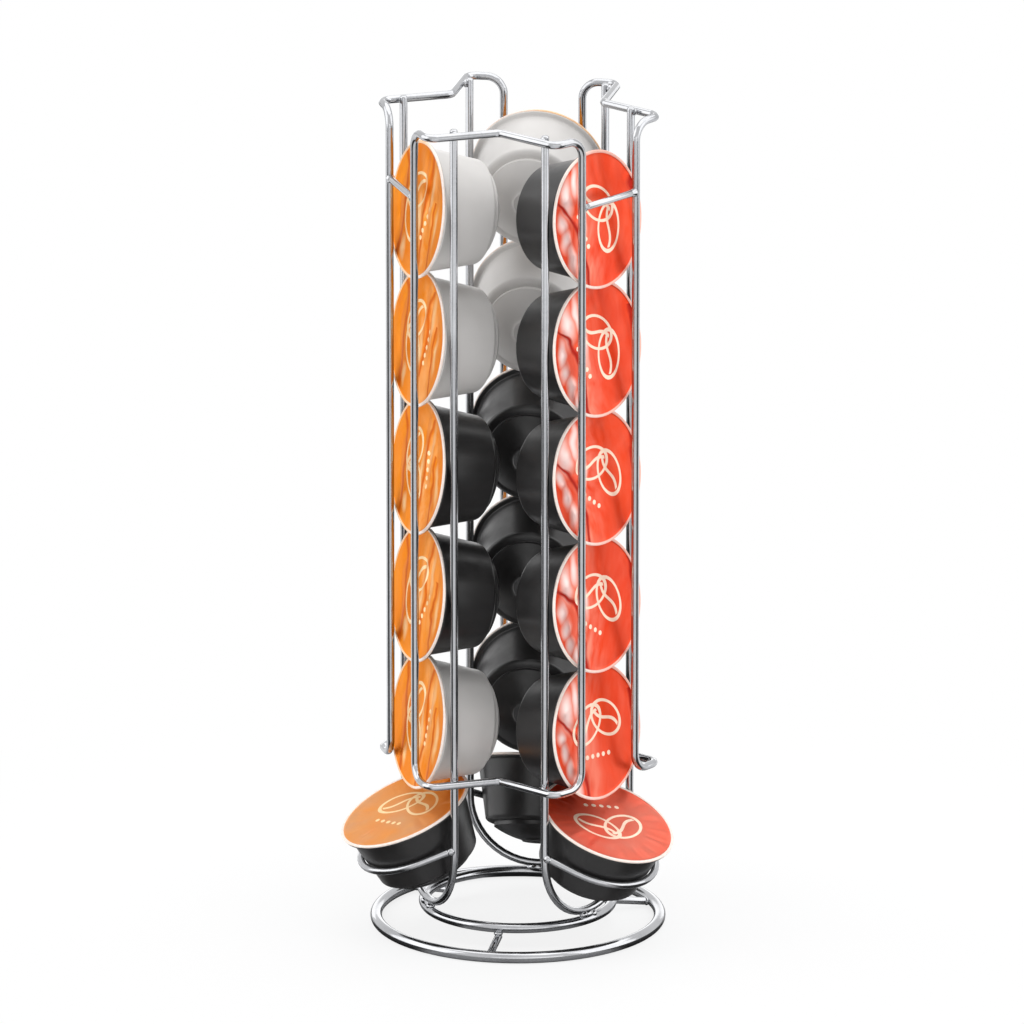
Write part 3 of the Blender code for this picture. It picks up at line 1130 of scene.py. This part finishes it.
@dataclass
class TurnedShape:
    """A round piece that is drawn out ring by ring from a small disc, about +Z."""

    name: str
    sides: int
    radius: float
    height: float
    piece: Piece = field(init=False)

    def __post_init__(self) -> None:
        """Starts with a disc."""
        clear_selection()
        place = (0, 0, self.height)
        bpy.ops.mesh.primitive_circle_add(
            vertices=self.sides, radius=self.radius, fill_type="TRIFAN", location=place
        )
        self.piece = start_piece(self.name)
        bpy.ops.mesh.select_mode(type="EDGE")
        bpy.ops.mesh.region_to_loop()

    def draw(self, radius: float, height: float) -> None:
        """Extrudes the open edge to a new ring.

        Args:
            radius: Radius of the ring.
            height: Height of the ring.
        """
        rise = (0, 0, height - self.height)
        bpy.ops.mesh.extrude_edges_move(TRANSFORM_OT_translate={"value": rise})
        scale = radius / self.radius
        bpy.ops.transform.resize(value=(scale, scale, 1), center_override=(0, 0, height))
        self.radius, self.height = radius, height

    def draw_arc(self, centre: Pair, size: Pair, turn: Pair, steps: int) -> None:
        """Extrudes the open edge along a rounded corner.

        Args:
            centre: Radius and height of the corner's centre.
            size: Its radial and upright half axes.
            turn: First and last angle, from the outward direction towards +Z.
            steps: How many rings it takes.
        """
        for step in range(steps + 1):
            angle = turn[0] + (turn[1] - turn[0]) * step / steps
            self.draw(centre[0] + size[0] * math.cos(angle), centre[1] + size[1] * math.sin(angle))

    def close(self, sharp_angle: float) -> Piece:
        """Draws the last ring to a point.

        Args:
            sharp_angle: The angle from which an edge stays sharp.

        Returns:
            The finished piece.
        """
        bpy.ops.mesh.extrude_edges_move(TRANSFORM_OT_translate={"value": (0, 0, 0)})
        bpy.ops.mesh.merge(type="CENTER")
        return finish_piece(self.piece, sharp_angle)


@dataclass
class CupPattern:
    """The moulded cup, made once and copied for each capsule."""

    plan: RackPlan
    sides: int = 72
    front: float = 0.00102
    edge_rings: int = 6
    root_round: float = 0.0006
    wall_rings: int = 6
    corner_rings: int = 10
    fillet: float = 0.0003
    fillet_rings: int = 4
    dome_rings: int = 9
    boss_radius: float = 0.0058
    boss_height: float = 0.0007
    vent_radius: float = 0.0017
    edge_ease: float = 0.0004
    sharp_angle: float = math.radians(38.0)

    def build(self) -> Piece:
        """Turns the cup.

        Returns:
            The cup, with its lid's face at the origin and its end towards -Z.
        """
        cup = TurnedShape("cup_pattern", self.sides, self.plan.lid_radius / 2, -self.front)
        self.draw_flange(cup)
        self.draw_wall(cup)
        self.draw_end(cup)
        return cup.close(self.sharp_angle)

    def draw_flange(self, cup: TurnedShape) -> None:
        """Draws the thin flange and the fillet behind it.

        Args:
            cup: The cup so far.
        """
        plan, round_off = self.plan, self.root_round
        half_edge = (plan.flange_back - self.front) / 2
        edge = plan.lid_radius - plan.flange_inset - half_edge
        middle = -(self.front + plan.flange_back) / 2
        cup.draw(edge, -self.front)
        cup.draw_arc((edge, middle), (half_edge, half_edge), (QUARTER, -QUARTER), self.edge_rings)
        root = (plan.wall_radius(plan.flange_back) + round_off, -plan.flange_back - round_off)
        cup.draw_arc(root, (round_off, round_off), (QUARTER, math.pi), self.fillet_rings)

    def draw_wall(self, cup: TurnedShape) -> None:
        """Draws the tapered wall, the rounded shoulder and the short collar behind it.

        Args:
            cup: The cup so far.
        """
        plan, fillet = self.plan, self.fillet
        wall_top = plan.flange_back + self.root_round
        for ring in range(1, self.wall_rings + 1):
            depth = wall_top + (plan.wall_depth - wall_top) * ring / self.wall_rings
            cup.draw(plan.wall_radius(depth), -depth)
        step_depth = plan.wall_depth + plan.shoulder_depth
        shoulder = (plan.shoulder_width, plan.shoulder_depth)
        cup.draw_arc((plan.step_radius, -plan.wall_depth), shoulder, (0, -QUARTER), self.corner_rings)
        ledge = (plan.collar_radius + fillet, -step_depth - fillet)
        cup.draw_arc(ledge, (fillet, fillet), (QUARTER, math.pi), self.fillet_rings)
        cup.draw(plan.collar_radius, -plan.collar_end)

    def draw_end(self, cup: TurnedShape) -> None:
        """Draws the domed end and the low boss in the middle of it.

        Args:
            cup: The cup so far.
        """
        plan, ease = self.plan, self.edge_ease
        foot = self.boss_radius + ease
        for ring in range(1, self.dome_rings + 1):
            radius = plan.collar_radius + (foot - plan.collar_radius) * ring / self.dome_rings
            depth = plan.capsule_depth - plan.dome_rise * (radius / plan.collar_radius) ** 2
            cup.draw(radius, -depth)
        top = -depth - self.boss_height
        cup.draw(self.boss_radius, top + ease)
        cup.draw(self.boss_radius - ease, top)
        cup.draw(self.vent_radius + ease, top)
        cup.draw(self.vent_radius, top + ease)


@dataclass(frozen=True)
class Crease:
    """One fold in a lid's foil along a line between two points, as shares of its radius.

    A fold of negative depth is a blister.
    """

    start: Pair
    end: Pair
    depth: float
    width: float
    flank: float = 1.5
    fade: Pair = (0.12, 0.76)

    def dip(self, x: float, y: float) -> float:
        """Depth of the fold at a place.

        Args:
            x: Place across the lid, as a share of its radius.
            y: Place up the lid, likewise.

        Returns:
            The depth there.
        """
        line = Vector(self.end) - Vector(self.start)
        offset = Vector((x, y)) - Vector(self.start)
        share = min(1.0, max(0.0, offset.dot(line) / line.length_squared))
        distance = (offset - line * share).length / self.width
        if distance >= 1:
            return 0.0
        along = math.sin(math.pi * (self.fade[0] + self.fade[1] * share))
        return self.depth * (1 - distance) ** self.flank * along


RED_CREASES = (
    Crease((-0.93, 0.40), (-0.60, 0.16), 0.00045, 0.14),
    Crease((-0.62, 0.18), (-0.39, -0.20), 0.00050, 0.15),
    Crease((-0.40, -0.16), (-0.32, -0.55), 0.00050, 0.15),
    Crease((-0.33, -0.50), (-0.29, -0.94), 0.00042, 0.14),
    Crease((-0.60, 0.14), (-0.22, 0.18), 0.00030, 0.12),
    Crease((-0.62, 0.52), (-0.70, 0.36), -0.00050, 0.13),
    Crease((-0.80, 0.12), (-0.76, 0.00), -0.00052, 0.12),
    Crease((-0.72, -0.14), (-0.69, -0.24), -0.00052, 0.12),
    Crease((-0.63, -0.38), (-0.59, -0.50), -0.00048, 0.12),
    Crease((-0.40, 0.66), (-0.30, 0.10), -0.00030, 0.20),
    Crease((0.86, 0.36), (0.88, -0.40), 0.00060, 0.12),
    Crease((0.66, 0.62), (0.84, 0.20), 0.00030, 0.16),
    Crease((0.02, 0.86), (0.16, 0.46), 0.00022, 0.14),
)
ORANGE_CREASES = (
    Crease((-0.50, 0.84), (-0.74, 0.10), 0.00050, 0.16),
    Crease((-0.74, 0.14), (-0.52, -0.70), 0.00056, 0.16),
    Crease((0.20, 0.90), (0.10, 0.10), 0.00042, 0.14),
    Crease((0.42, 0.80), (0.36, -0.10), 0.00050, 0.13),
    Crease((0.60, 0.66), (0.74, 0.05), 0.00040, 0.16),
    Crease((0.74, 0.08), (0.46, -0.74), 0.00044, 0.18),
    Crease((0.30, 0.60), (0.22, -0.50), -0.00036, 0.12),
    Crease((0.56, 0.40), (0.54, -0.40), -0.00036, 0.12),
    Crease((-0.05, -0.56), (0.24, -0.92), 0.00032, 0.13),
)
CREASES = {FoilTone.RED: RED_CREASES, FoilTone.ORANGE: ORANGE_CREASES}


@dataclass(frozen=True)
class CapsuleSpec:
    """What sets one capsule apart from the others."""

    side: Side
    key: str
    level: int | None
    cup: CupTone
    foil: FoilTone
    seed: int
    print_turn: float

    @property
    def body(self) -> str:
        """The frame's body that the capsule is."""
        return f"capsule_{self.side.label}_{self.key}"


@dataclass
class LidPattern:
    """The foil lid: a rolled pale rim round a thin crumpled face.

    A noise has its fineness on the lid, how far apart the lids are in it, and its own shift. The noises
    of the tray's pleats have the same from pleat to pleat.
    """

    plan: RackPlan
    sides: int = 144
    face_rings: int = 30
    rim_rings: int = 10
    rim_width: float = 0.0012
    rim_drop: float = 0.0002
    sharp_angle: float = math.radians(60.0)
    dish: float = 0.00025
    pleat_depth: float = 0.00011
    pleat_count: int = 46
    pleat_gain: float = 3.0
    ripple: float = 0.00016
    fine_share: float = 0.45
    wobble: float = 0.05
    broad_noise: Triple = (1.7, 3.7, 0.0)
    fine_noise: Triple = (4.6, 1.9, 8.0)
    wobble_noise: Triple = (2.0, 5.3, 0.0)
    held_edge: float = 0.10
    fringe_start: float = 0.62
    fringe_width: float = 0.38
    fringe_hold: float = 0.03
    face_floor: float = 1.5
    back_share: float = 0.95
    tray_pleats: int = 26
    tray_pleat_reach: Pair = (0.66, 0.99)
    tray_pleat_swing: Pair = (0.6, 0.16)
    turn_noise: Triple = (1.7, 2.3, 0.5)
    start_noise: Triple = (2.9, 1.1, 4.5)
    tray_pleat_depth: float = 0.00030
    tray_pleat_width: float = 0.055
    tray_dent: Crease = Crease((-0.52, 0.34), (0.46, 0.52), 0.00042, 0.34)
    face_radius: float = field(init=False)

    def __post_init__(self) -> None:
        """Works out the radius of the foil inside the rim."""
        self.face_radius = self.plan.lid_radius - self.rim_width

    def build(self) -> Piece:
        """Turns the flat lid.

        Returns:
            The lid, with its face towards +Z at the origin.
        """
        radius, thickness = self.plan.lid_radius, self.plan.lid_thickness
        lid = TurnedShape("lid_pattern", self.sides, radius / 2, -thickness)
        half = thickness / 2
        lid.draw(radius - half, -thickness)
        lid.draw_arc((radius - half, -half), (half, half), (-QUARTER, QUARTER), self.rim_rings)
        lid.draw(self.face_radius + self.rim_drop, 0)
        lid.draw(self.face_radius, -self.rim_drop)
        for ring in range(1, self.face_rings):
            lid.draw(self.face_radius * (1 - ring / self.face_rings), -self.rim_drop)
        return lid.close(self.sharp_angle)

    @staticmethod
    def wave(x: float, y: float, seed: int, kind: Triple) -> float:
        """One of the noises at a place, for one lid."""
        fineness, apart, shift = kind
        return noise.noise(Vector((x * fineness, y * fineness, seed * apart + shift)))

    def relief(self, x: float, y: float, creases: tuple[Crease, ...], seed: int) -> float:
        """Height of the crumpled foil over the flat one.

        Args:
            x: Place across the lid, as a share of the face's radius.
            y: Place up the lid, likewise.
            creases: The larger folds.
            seed: Number that makes each lid its own.

        Returns:
            The height, never over the rim.
        """
        radius = math.hypot(x, y)
        angle = math.atan2(y, x)
        held = min(1.0, max(0.0, (1.0 - radius) / self.held_edge))
        fringe = max(0.0, (radius - self.fringe_start) / self.fringe_width) ** 2
        fringe *= min(1.0, (1.0 - radius) / self.fringe_hold)
        pleat = noise.noise(Vector((math.cos(angle), math.sin(angle), seed)) * self.pleat_count / math.tau)
        broad, fine = (self.wave(x, y, seed, kind) for kind in (self.broad_noise, self.fine_noise))
        height = -self.dish * (1 - radius**2)
        height += self.ripple * held * (broad + self.fine_share * fine)
        height -= self.pleat_depth * fringe * abs(pleat) * self.pleat_gain
        wobble = self.wobble * self.wave(x, y, seed, self.wobble_noise)
        for crease in creases:
            height -= crease.dip(x + wobble, y - wobble) * held
        return min(height, self.rim_drop + self.pleat_depth)

    def tray_creases(self, seed: int) -> tuple[Crease, ...]:
        """Short pleats that run in from the rim of a tray capsule's lid, and one shallow dent.

        Args:
            seed: Number that makes each lid its own.

        Returns:
            The pleats and the dent.
        """
        inner, outer = self.tray_pleat_reach
        turn_swing, start_swing = self.tray_pleat_swing
        pleats = [self.tray_dent]
        for index in range(self.tray_pleats):
            swing, shift = (
                noise.noise(Vector((index * along, seed * apart, row)))
                for along, apart, row in (self.turn_noise, self.start_noise)
            )
            angle = math.tau * (index + turn_swing * swing) / self.tray_pleats
            start = inner + start_swing * shift
            depth = self.tray_pleat_depth * (0.5 + abs(swing)) * (-1 if index % 2 else 1)
            line = Vector((math.cos(angle), math.sin(angle)))
            pleats.append(Crease(tuple(line * start), tuple(line * outer), depth, self.tray_pleat_width))
        return tuple(pleats)

    def crumple(self, piece: Piece, spec: CapsuleSpec) -> None:
        """Crumples one lid's foil and lays the plans of the print and of the face on it.

        A tray capsule's foil has no sharp folds, so its plan of the face lies off the lid.

        Args:
            piece: The flat lid.
            spec: The capsule.
        """
        mesh = piece.data
        width = self.plan.lid_diameter
        stacked = spec.level is not None
        for name, angle, shift in (
            (PRINT_LAYER, -spec.print_turn, 0.0),
            (FACE_LAYER, 0.0, 0.0 if stacked else TRAY_SHIFT),
        ):
            layer = mesh.uv_layers.new(name=name)
            turn = Matrix.Rotation(angle, 2)
            for loop in mesh.loops:
                point = turn @ mesh.vertices[loop.vertex_index].co.xy
                layer.data[loop.index].uv = (point.x / width + 0.5 + shift, point.y / width + 0.5)
        creases = CREASES[spec.foil] if stacked else self.tray_creases(spec.seed)
        for vertex in mesh.vertices:
            inside = vertex.co.xy.length < self.face_radius - WELD_DISTANCE
            if inside and vertex.co.z > -self.rim_drop * self.face_floor:
                x, y = vertex.co.xy / self.face_radius
                vertex.co.z += self.relief(x, y, creases, spec.seed)

    def dress(self, piece: Piece, foil: Material, rim: Material) -> None:
        """Gives the face its foil and the rest the rim's finish.

        Args:
            piece: The lid, before it is put in place.
            foil: The lacquered foil.
            rim: The pale edge.
        """
        piece.data.materials.clear()
        for material in (foil, rim):
            piece.data.materials.append(material)
        for face in piece.data.polygons:
            inside = face.center.xy.length < self.face_radius
            back = -self.plan.lid_thickness * self.back_share
            face.material_index = 0 if inside and face.center.z > back else 1


@dataclass(frozen=True)
class ColumnLoad:
    """What stands in one column, from the top of the stack down, then on the tray."""

    side: Side
    foil: FoilTone
    cups: tuple[CupTone, ...]
    print_turns: tuple[float, ...]


WHITE, BLACK = CupTone.WHITE, CupTone.BLACK
LOADS = (
    ColumnLoad(Side.RIGHT, FoilTone.RED, (BLACK,) * 6, (-72.0, -66.0, -38.0, -34.0, -4.0, 148.0)),
    ColumnLoad(
        Side.BACK,
        FoilTone.ORANGE,
        (WHITE, WHITE, BLACK, BLACK, BLACK, BLACK),
        (12.0, -40.0, 75.0, -18.0, 33.0, 8.0),
    ),
    ColumnLoad(
        Side.LEFT,
        FoilTone.ORANGE,
        (WHITE, WHITE, BLACK, BLACK, WHITE, BLACK),
        (70.0, 82.0, 96.0, 64.0, 88.0, 20.0),
    ),
)


@dataclass
class Capsules:
    """The eighteen loaded capsules."""

    plan: RackPlan
    finishes: Finishes

    def specs(self) -> list[CapsuleSpec]:
        """Lists the capsules of each column, from the top of the stack down, then its tray.

        Returns:
            One entry for each capsule.
        """
        listed = []
        stack = self.plan.capsules_in_stack
        for load in LOADS:
            for index, (tone, turn) in enumerate(zip(load.cups, load.print_turns)):
                key, level = (str(index + 1), stack - 1 - index) if index < stack else ("tray", None)
                seed = len(listed) + 1
                spec = CapsuleSpec(load.side, key, level, tone, load.foil, seed, math.radians(turn))
                listed.append(spec)
        return listed

    @staticmethod
    def copy_of(pattern: Piece, name: str) -> Piece:
        """Copies a pattern with its own mesh.

        Args:
            pattern: The piece to copy.
            name: Name of the copy.

        Returns:
            The copy.
        """
        piece = pattern.copy()
        piece.data = pattern.data.copy()
        bpy.context.scene.collection.objects.link(piece)
        return rename(piece, name)

    def settle(self, piece: Piece, spec: CapsuleSpec, node: str, slot: str) -> None:
        """Puts a finished piece in its place and lets it stand for its node.

        Args:
            piece: The cup or the lid, in the capsule's own frame.
            spec: The capsule.
            node: The frame's node.
            slot: The record's material slot, which is not used.
        """
        piece.data.transform(self.plan.capsule_matrix(spec.side, spec.level))
        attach(piece, spec.body)
        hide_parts(node)
        log.info("%s: %d faces", piece.name, len(piece.data.polygons))

    def build(self) -> None:
        """Builds every capsule from the two patterns."""
        lids = LidPattern(self.plan)
        cup_pattern, lid_pattern = CupPattern(self.plan).build(), lids.build()
        for spec in self.specs():
            cup = self.copy_of(cup_pattern, f"{spec.body}_cup_moulded")
            cup.data.materials.append(self.finishes.cups[spec.cup])
            self.settle(cup, spec, f"{spec.body}_cup", spec.cup.value)
            lid = self.copy_of(lid_pattern, f"{spec.body}_lid_foil")
            lids.crumple(lid, spec)
            lids.dress(lid, self.finishes.foils[spec.foil], self.finishes.rims[spec.foil])
            self.settle(lid, spec, f"{spec.body}_lid", spec.foil.value)
        for pattern in (cup_pattern, lid_pattern):
            bpy.data.objects.remove(pattern)


@dataclass
class Welds(TowerPart):
    """The small plated welds where the wires meet.

    A bead's half sizes go outwards, sideways and upwards. A foot lump has its place to the side, its
    height over the foot's bead and its seed.
    """

    segments: int = 16
    rings: int = 10
    roughness: float = 0.00012
    smoothing: float = 0.5
    foot_seed: int = 40
    spoke_seeds: tuple[int, int] = (60, 70)
    tray_seed: int = 90
    crossing: Triple = (0.00165, 0.0013, 0.00165)
    foot: Triple = (0.0021, 0.0040, 0.0020)
    lump: Triple = (0.0017, 0.0019, 0.0016)
    lump_outset: float = 0.0008
    lumps: tuple[Triple, ...] = ((-0.0031, 0.0005, 50), (0.0026, -0.0003, 80))
    tray_end: Triple = (0.0022, 0.0018, 0.0018)
    tray_end_share: float = 0.45
    spoke_inner: Triple = (0.0018, 0.0019, 0.0011)
    spoke_outer: Triple = (0.0011, 0.0020, 0.0017)
    collar_back: float = 0.0019
    collar_bite: float = 0.0006
    collar_share: float = 0.99
    collar_flare: float = 0.00075
    collar_steps: int = 5

    def bead(self, place: Vector, radii: Triple, azimuth: float, seed: int) -> Piece:
        """Lays one bead.

        Args:
            place: Its middle.
            radii: Its half sizes.
            azimuth: Direction that counts as outwards.
            seed: Number that makes each bead its own.

        Returns:
            The bead.
        """
        clear_selection()
        bpy.ops.mesh.primitive_uv_sphere_add(segments=self.segments, ring_count=self.rings, radius=1.0)
        piece = bpy.context.object
        bpy.ops.object.mode_set(mode="EDIT")
        bpy.ops.mesh.select_all(action="SELECT")
        bpy.ops.transform.resize(value=radii, center_override=(0, 0, 0))
        bpy.ops.transform.vertex_random(offset=self.roughness, seed=seed)
        bpy.ops.mesh.vertices_smooth(factor=self.smoothing)
        bpy.ops.object.mode_set(mode="OBJECT")
        piece.data.transform(Matrix.Translation(place) @ Matrix.Rotation(azimuth - QUARTER, 4, "Z"))
        bpy.ops.object.shade_smooth_by_angle(angle=math.pi)
        return piece

    def collar(self, start: Vector, end: Vector) -> Piece:
        """Flares the end of a bar out to the post that it butts against.

        Args:
            start: Where the flare begins on the bar.
            end: Where it ends, inside the post.

        Returns:
            The collar.
        """
        radius = self.plan.bar_wire / 2 * self.collar_share
        former = WireFormer("collar", 2 * radius, start, end - start)
        steps, total, scale = self.collar_steps, end - start, 1.0
        for step in range(1, steps + 1):
            former.feed(total / steps)
            wider = (radius + self.collar_flare * (step / steps) ** 2) / radius
            ratio = wider / scale
            centre = start + total * step / steps
            bpy.ops.transform.resize(value=(ratio, ratio, ratio), center_override=centre)
            scale = wider
        return former.finish_ends()

    def bar_welds(self) -> None:
        """Collars at the ends of the retaining bars."""
        plan = self.plan
        half = Bars(plan, self.finishes).half_length()
        reach = (half - self.collar_back, plan.window_half - self.collar_bite)
        for side in Side:
            collars = []
            for sign in (-1, 1):
                ends = (plan.place(side.value, plan.post_radius, sign * x, plan.bar_height) for x in reach)
                collars.append(self.collar(*ends))
            self.settle(join_pieces(collars, f"bar_{side.label}_welds"))

    def guide_welds(self) -> None:
        """Beads where the guides cross the frames, and at their feet on the inner ring."""
        plan = self.plan
        swing = plan.guide_half * math.sin(plan.guide_twist)
        foot_height = plan.inner_ring_height + plan.inner_ring_wire / 2
        for index, side in enumerate(Side):
            beads = []
            for sign in (-1, 1):
                for height in (plan.frame_top, plan.frame_bottom):
                    lateral = sign * (plan.guide_half + plan.tower_wire / 2)
                    place = plan.place(side.value, plan.guide_radius - sign * swing, lateral, height)
                    beads.append(self.bead(place, self.crossing, side.value, 10 * index + len(beads)))
            foot = plan.guided_place(side.value, plan.guide_radius, 0, foot_height)
            beads.append(self.bead(foot, self.foot, side.value, self.foot_seed + index))
            for shift, rise, seed in self.lumps:
                radius = plan.guide_radius + self.lump_outset
                lump = plan.guided_place(side.value, radius, shift, foot_height + rise)
                beads.append(self.bead(lump, self.lump, side.value, seed + index))
            self.settle(join_pieces(beads, f"guide_{side.label}_welds"))

    def tray_welds(self) -> None:
        """Beads that join the ends of the tray wires to the guides."""
        plan = self.plan
        trays = Trays(plan, self.finishes)
        for index, side in enumerate(Side):
            beads = []
            for sign in (-1, 1):
                end = trays.sloped(side, trays.end_along(), sign * plan.guide_half)
                guide = plan.guided_place(side.value, plan.guide_radius, sign * plan.guide_half, end.z)
                place = end.lerp(guide, self.tray_end_share)
                seed = self.tray_seed + 2 * index + sign
                beads.append(self.bead(place, self.tray_end, side.value, seed))
            self.settle(join_pieces(beads, f"tray_{side.label}_welds"))

    def spoke_welds(self) -> None:
        """Beads at both ends of the spokes."""
        plan = self.plan
        inner_height = plan.spoke_inner_height + plan.spoke_wire / 2
        outer_radius = plan.outer_ring_radius - plan.outer_ring_wire / 2 - plan.seat_gap
        beads = []
        for index, gap in enumerate(Gap):
            inner = plan.place(gap.value, plan.inner_ring_radius, 0, inner_height)
            outer = plan.place(gap.value, outer_radius, 0, plan.spoke_outer_height)
            ends = (inner, self.spoke_inner), (outer, self.spoke_outer)
            for (place, radii), seed in zip(ends, self.spoke_seeds):
                beads.append(self.bead(place, radii, gap.value, seed + index))
        self.settle(join_pieces(beads, "spoke_welds"))

    def build(self) -> None:
        """Lays every weld."""
        self.bar_welds()
        self.guide_welds()
        self.tray_welds()
        self.spoke_welds()


@dataclass(frozen=True)
class Lamp:
    """One soft lamp: where it hangs from the camera's side, its face's width and height, and its power."""

    name: str
    azimuth: float
    distance: float
    height: float
    face: Pair
    power: float


@dataclass
class Studio:
    """Pale floor, dark ground for the chrome to mirror, soft lamps, and the camera."""

    plan: RackPlan
    azimuth: float = math.radians(11.972)
    elevation: float = math.radians(16.538)
    lens: float = 613.28
    sensor: float = 36.0
    distance: float = 6.849
    target_height: float = 0.168
    target_shift: float = -0.00235
    clip_end: float = 60.0
    floor_half: float = 6.0
    floor_tones: tuple[Quad, Quad] = ((0.78, 0.78, 0.78, 1), (0.81, 0.81, 0.81, 1))
    floor_clouds: Pair = (3.0, 2.0)
    floor_roughness: float = 0.9
    shadow_zone: Pair = (0.06, 0.30)
    paling: float = 0.82
    ground_reach: float = 1.15
    ground_height: float = 0.0004
    ground_tone: Quad = (0.02, 0.02, 0.02, 1)
    sectors: int = 3
    sector_edges: Pair = (0.13, 0.30)
    underside: Pair = (0.085, 0.15)
    underside_share: float = 0.5
    sky_tone: Quad = (0.97, 0.98, 1.0, 1)
    sky_light: float = 0.74
    lamps: tuple[Lamp, ...] = (
        Lamp("lamp_top", math.radians(150.0), 0.4, 1.9, (2.6, 2.6), 25.0),
        Lamp("lamp_back", math.radians(180.0), 1.6, 0.20, (1.8, 0.7), 3.0),
        Lamp("lamp_front", math.radians(8.0), 1.6, 0.16, (1.6, 0.7), 2.2),
        Lamp("lamp_left", math.radians(-84.0), 1.6, 0.75, (2.0, 1.8), 13.0),
        Lamp("lamp_right", math.radians(76.0), 1.6, 0.75, (1.7, 1.8), 10.0),
    )

    def aim(self, data: bpy.types.ID, place: Vector, back: Vector) -> Piece:
        """Stands a camera or a lamp in its place and turns its back to a direction.

        Args:
            data: The camera or the lamp.
            place: Where it stands.
            back: The direction behind it.

        Returns:
            Its object.
        """
        made = bpy.data.objects.new(data.name, data)
        made.location = place
        made.rotation_euler = back.to_track_quat("Z", "Y").to_euler()
        bpy.context.scene.collection.objects.link(made)
        return made

    def camera(self) -> None:
        """Sets the camera at the photograph's viewing angle."""
        cosine, sine = math.cos(self.azimuth), math.sin(self.azimuth)
        level = math.cos(self.elevation)
        back = Vector((sine * level, -cosine * level, math.sin(self.elevation)))
        right = out_and_side(self.azimuth)[1]
        target = Vector((0, self.plan.axis_y, self.target_height)) + right * self.target_shift
        data = bpy.data.cameras.new("photo_camera")
        data.lens, data.sensor_width, data.clip_end = self.lens, self.sensor, self.clip_end
        bpy.context.scene.camera = self.aim(data, target + back * self.distance, back)

    def plane(self, sheet: NodeSheet, half: float, height: float) -> Piece:
        """Lays a square that is named as its material.

        Args:
            sheet: The material's nodes.
            half: Half of its width.
            height: Its height over the table.

        Returns:
            The square.
        """
        clear_selection()
        bpy.ops.mesh.primitive_plane_add(size=2 * half, location=(0, 0, height))
        plane = bpy.context.object
        plane.name = sheet.owner.name
        plane.data.materials.append(sheet.owner)
        return plane

    def floor(self) -> None:
        """Lays a pale matt floor that, to the camera, goes over to white away from the rack."""
        sheet = material_sheet("studio_floor")
        point = sheet.point()
        tone = point.grain(*self.floor_clouds).mix(*self.floor_tones)
        sheet.set(Base_Color=tone, Roughness=self.floor_roughness)
        distance = point.then("VectorMath", operation="LENGTH")
        away = distance.ramp(*self.shadow_zone, self.paling, 1.0, **SMOOTH)
        white = add_node(sheet.tree, "Emission")
        sheet.blend(sheet.ray("Is Camera Ray") * away, sheet.shader, white)
        floor = self.plane(sheet, self.floor_half, 0)

    def dark_ground(self) -> None:
        """Lays dark sectors round the rack, and a dark disc beneath it as painted shade on the lower sides of
        the cups and wires, that only the wires' and cups' reflections see.
        """
        sheet = material_sheet("dark_ground")
        sheet.set(Base_Color=self.ground_tone, Roughness=1.0)
        point = sheet.point()
        turned = point.then("Mapping", Rotation=(0, 0, QUARTER - self.azimuth))
        turn = add_node(sheet.tree, "TexGradient", turned, gradient_type="RADIAL")
        cell = (Term(turn.outputs["Fac"]) * self.sectors).reckon("PINGPONG", 0.5)
        sector = cell.ramp(*self.sector_edges, 1.0, 0.0, **SMOOTH)
        distance = point.then("VectorMath", operation="LENGTH")
        # Painted shade: a dark disc beneath the rack, seen only in reflections, darkens the lower sides of
        # the cups and wires.
        under = distance.ramp(*self.underside, self.underside_share, 0.0, **SMOOTH)
        sheet.blend(sector.at_least(under), add_node(sheet.tree, "BsdfTransparent"), sheet.shader)
        ground = self.plane(sheet, self.ground_reach, self.ground_height)
        ground.visible_camera = ground.visible_shadow = ground.visible_diffuse = False

    def surroundings(self) -> None:
        """White to the camera, in mirrors and through glass, and a soft grey for the light."""
        world = bpy.data.worlds.new("studio_world")
        bpy.context.scene.world = world
        sheet = NodeSheet(world)
        sheet.set(Color=self.sky_tone, Strength=self.sky_light)
        white = add_node(sheet.tree, "Background", Color=(1, 1, 1, 1))
        seen = sheet.ray("Is Camera Ray")
        for kind in ("Is Glossy Ray", "Is Transmission Ray"):
            seen = seen.at_least(sheet.ray(kind))
        sheet.blend(seen, sheet.shader, white)

    def light(self) -> None:
        """Hangs the lamps, which point at the middle of the tower."""
        target = Vector((0, self.plan.axis_y, self.target_height))
        for lamp in self.lamps:
            data = bpy.data.lights.new(lamp.name, "AREA")
            data.shape = "RECTANGLE"
            data.size, data.size_y = lamp.face
            data.energy = lamp.power
            place = self.plan.place(self.azimuth + lamp.azimuth, lamp.distance, 0, lamp.height)
            self.aim(data, place, place - target)

    def build(self) -> None:
        """Builds the studio."""
        self.camera()
        self.floor()
        self.surroundings()
        self.dark_ground()
        self.light()
        bpy.context.scene.view_settings.view_transform = "Standard"


def main() -> None:
    """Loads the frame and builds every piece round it."""
    logging.basicConfig(level=logging.INFO, format="%(name)s: %(message)s")
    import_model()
    plan = RackPlan()
    finishes = Finishes()
    Studio(plan).build()
    for part in (Base, WindowFrames, Guides, Bars, Trays, Welds):
        part(plan, finishes).build()
    Capsules(plan, finishes).build()
    clear_selection()


if __name__ == "__main__":
    main()
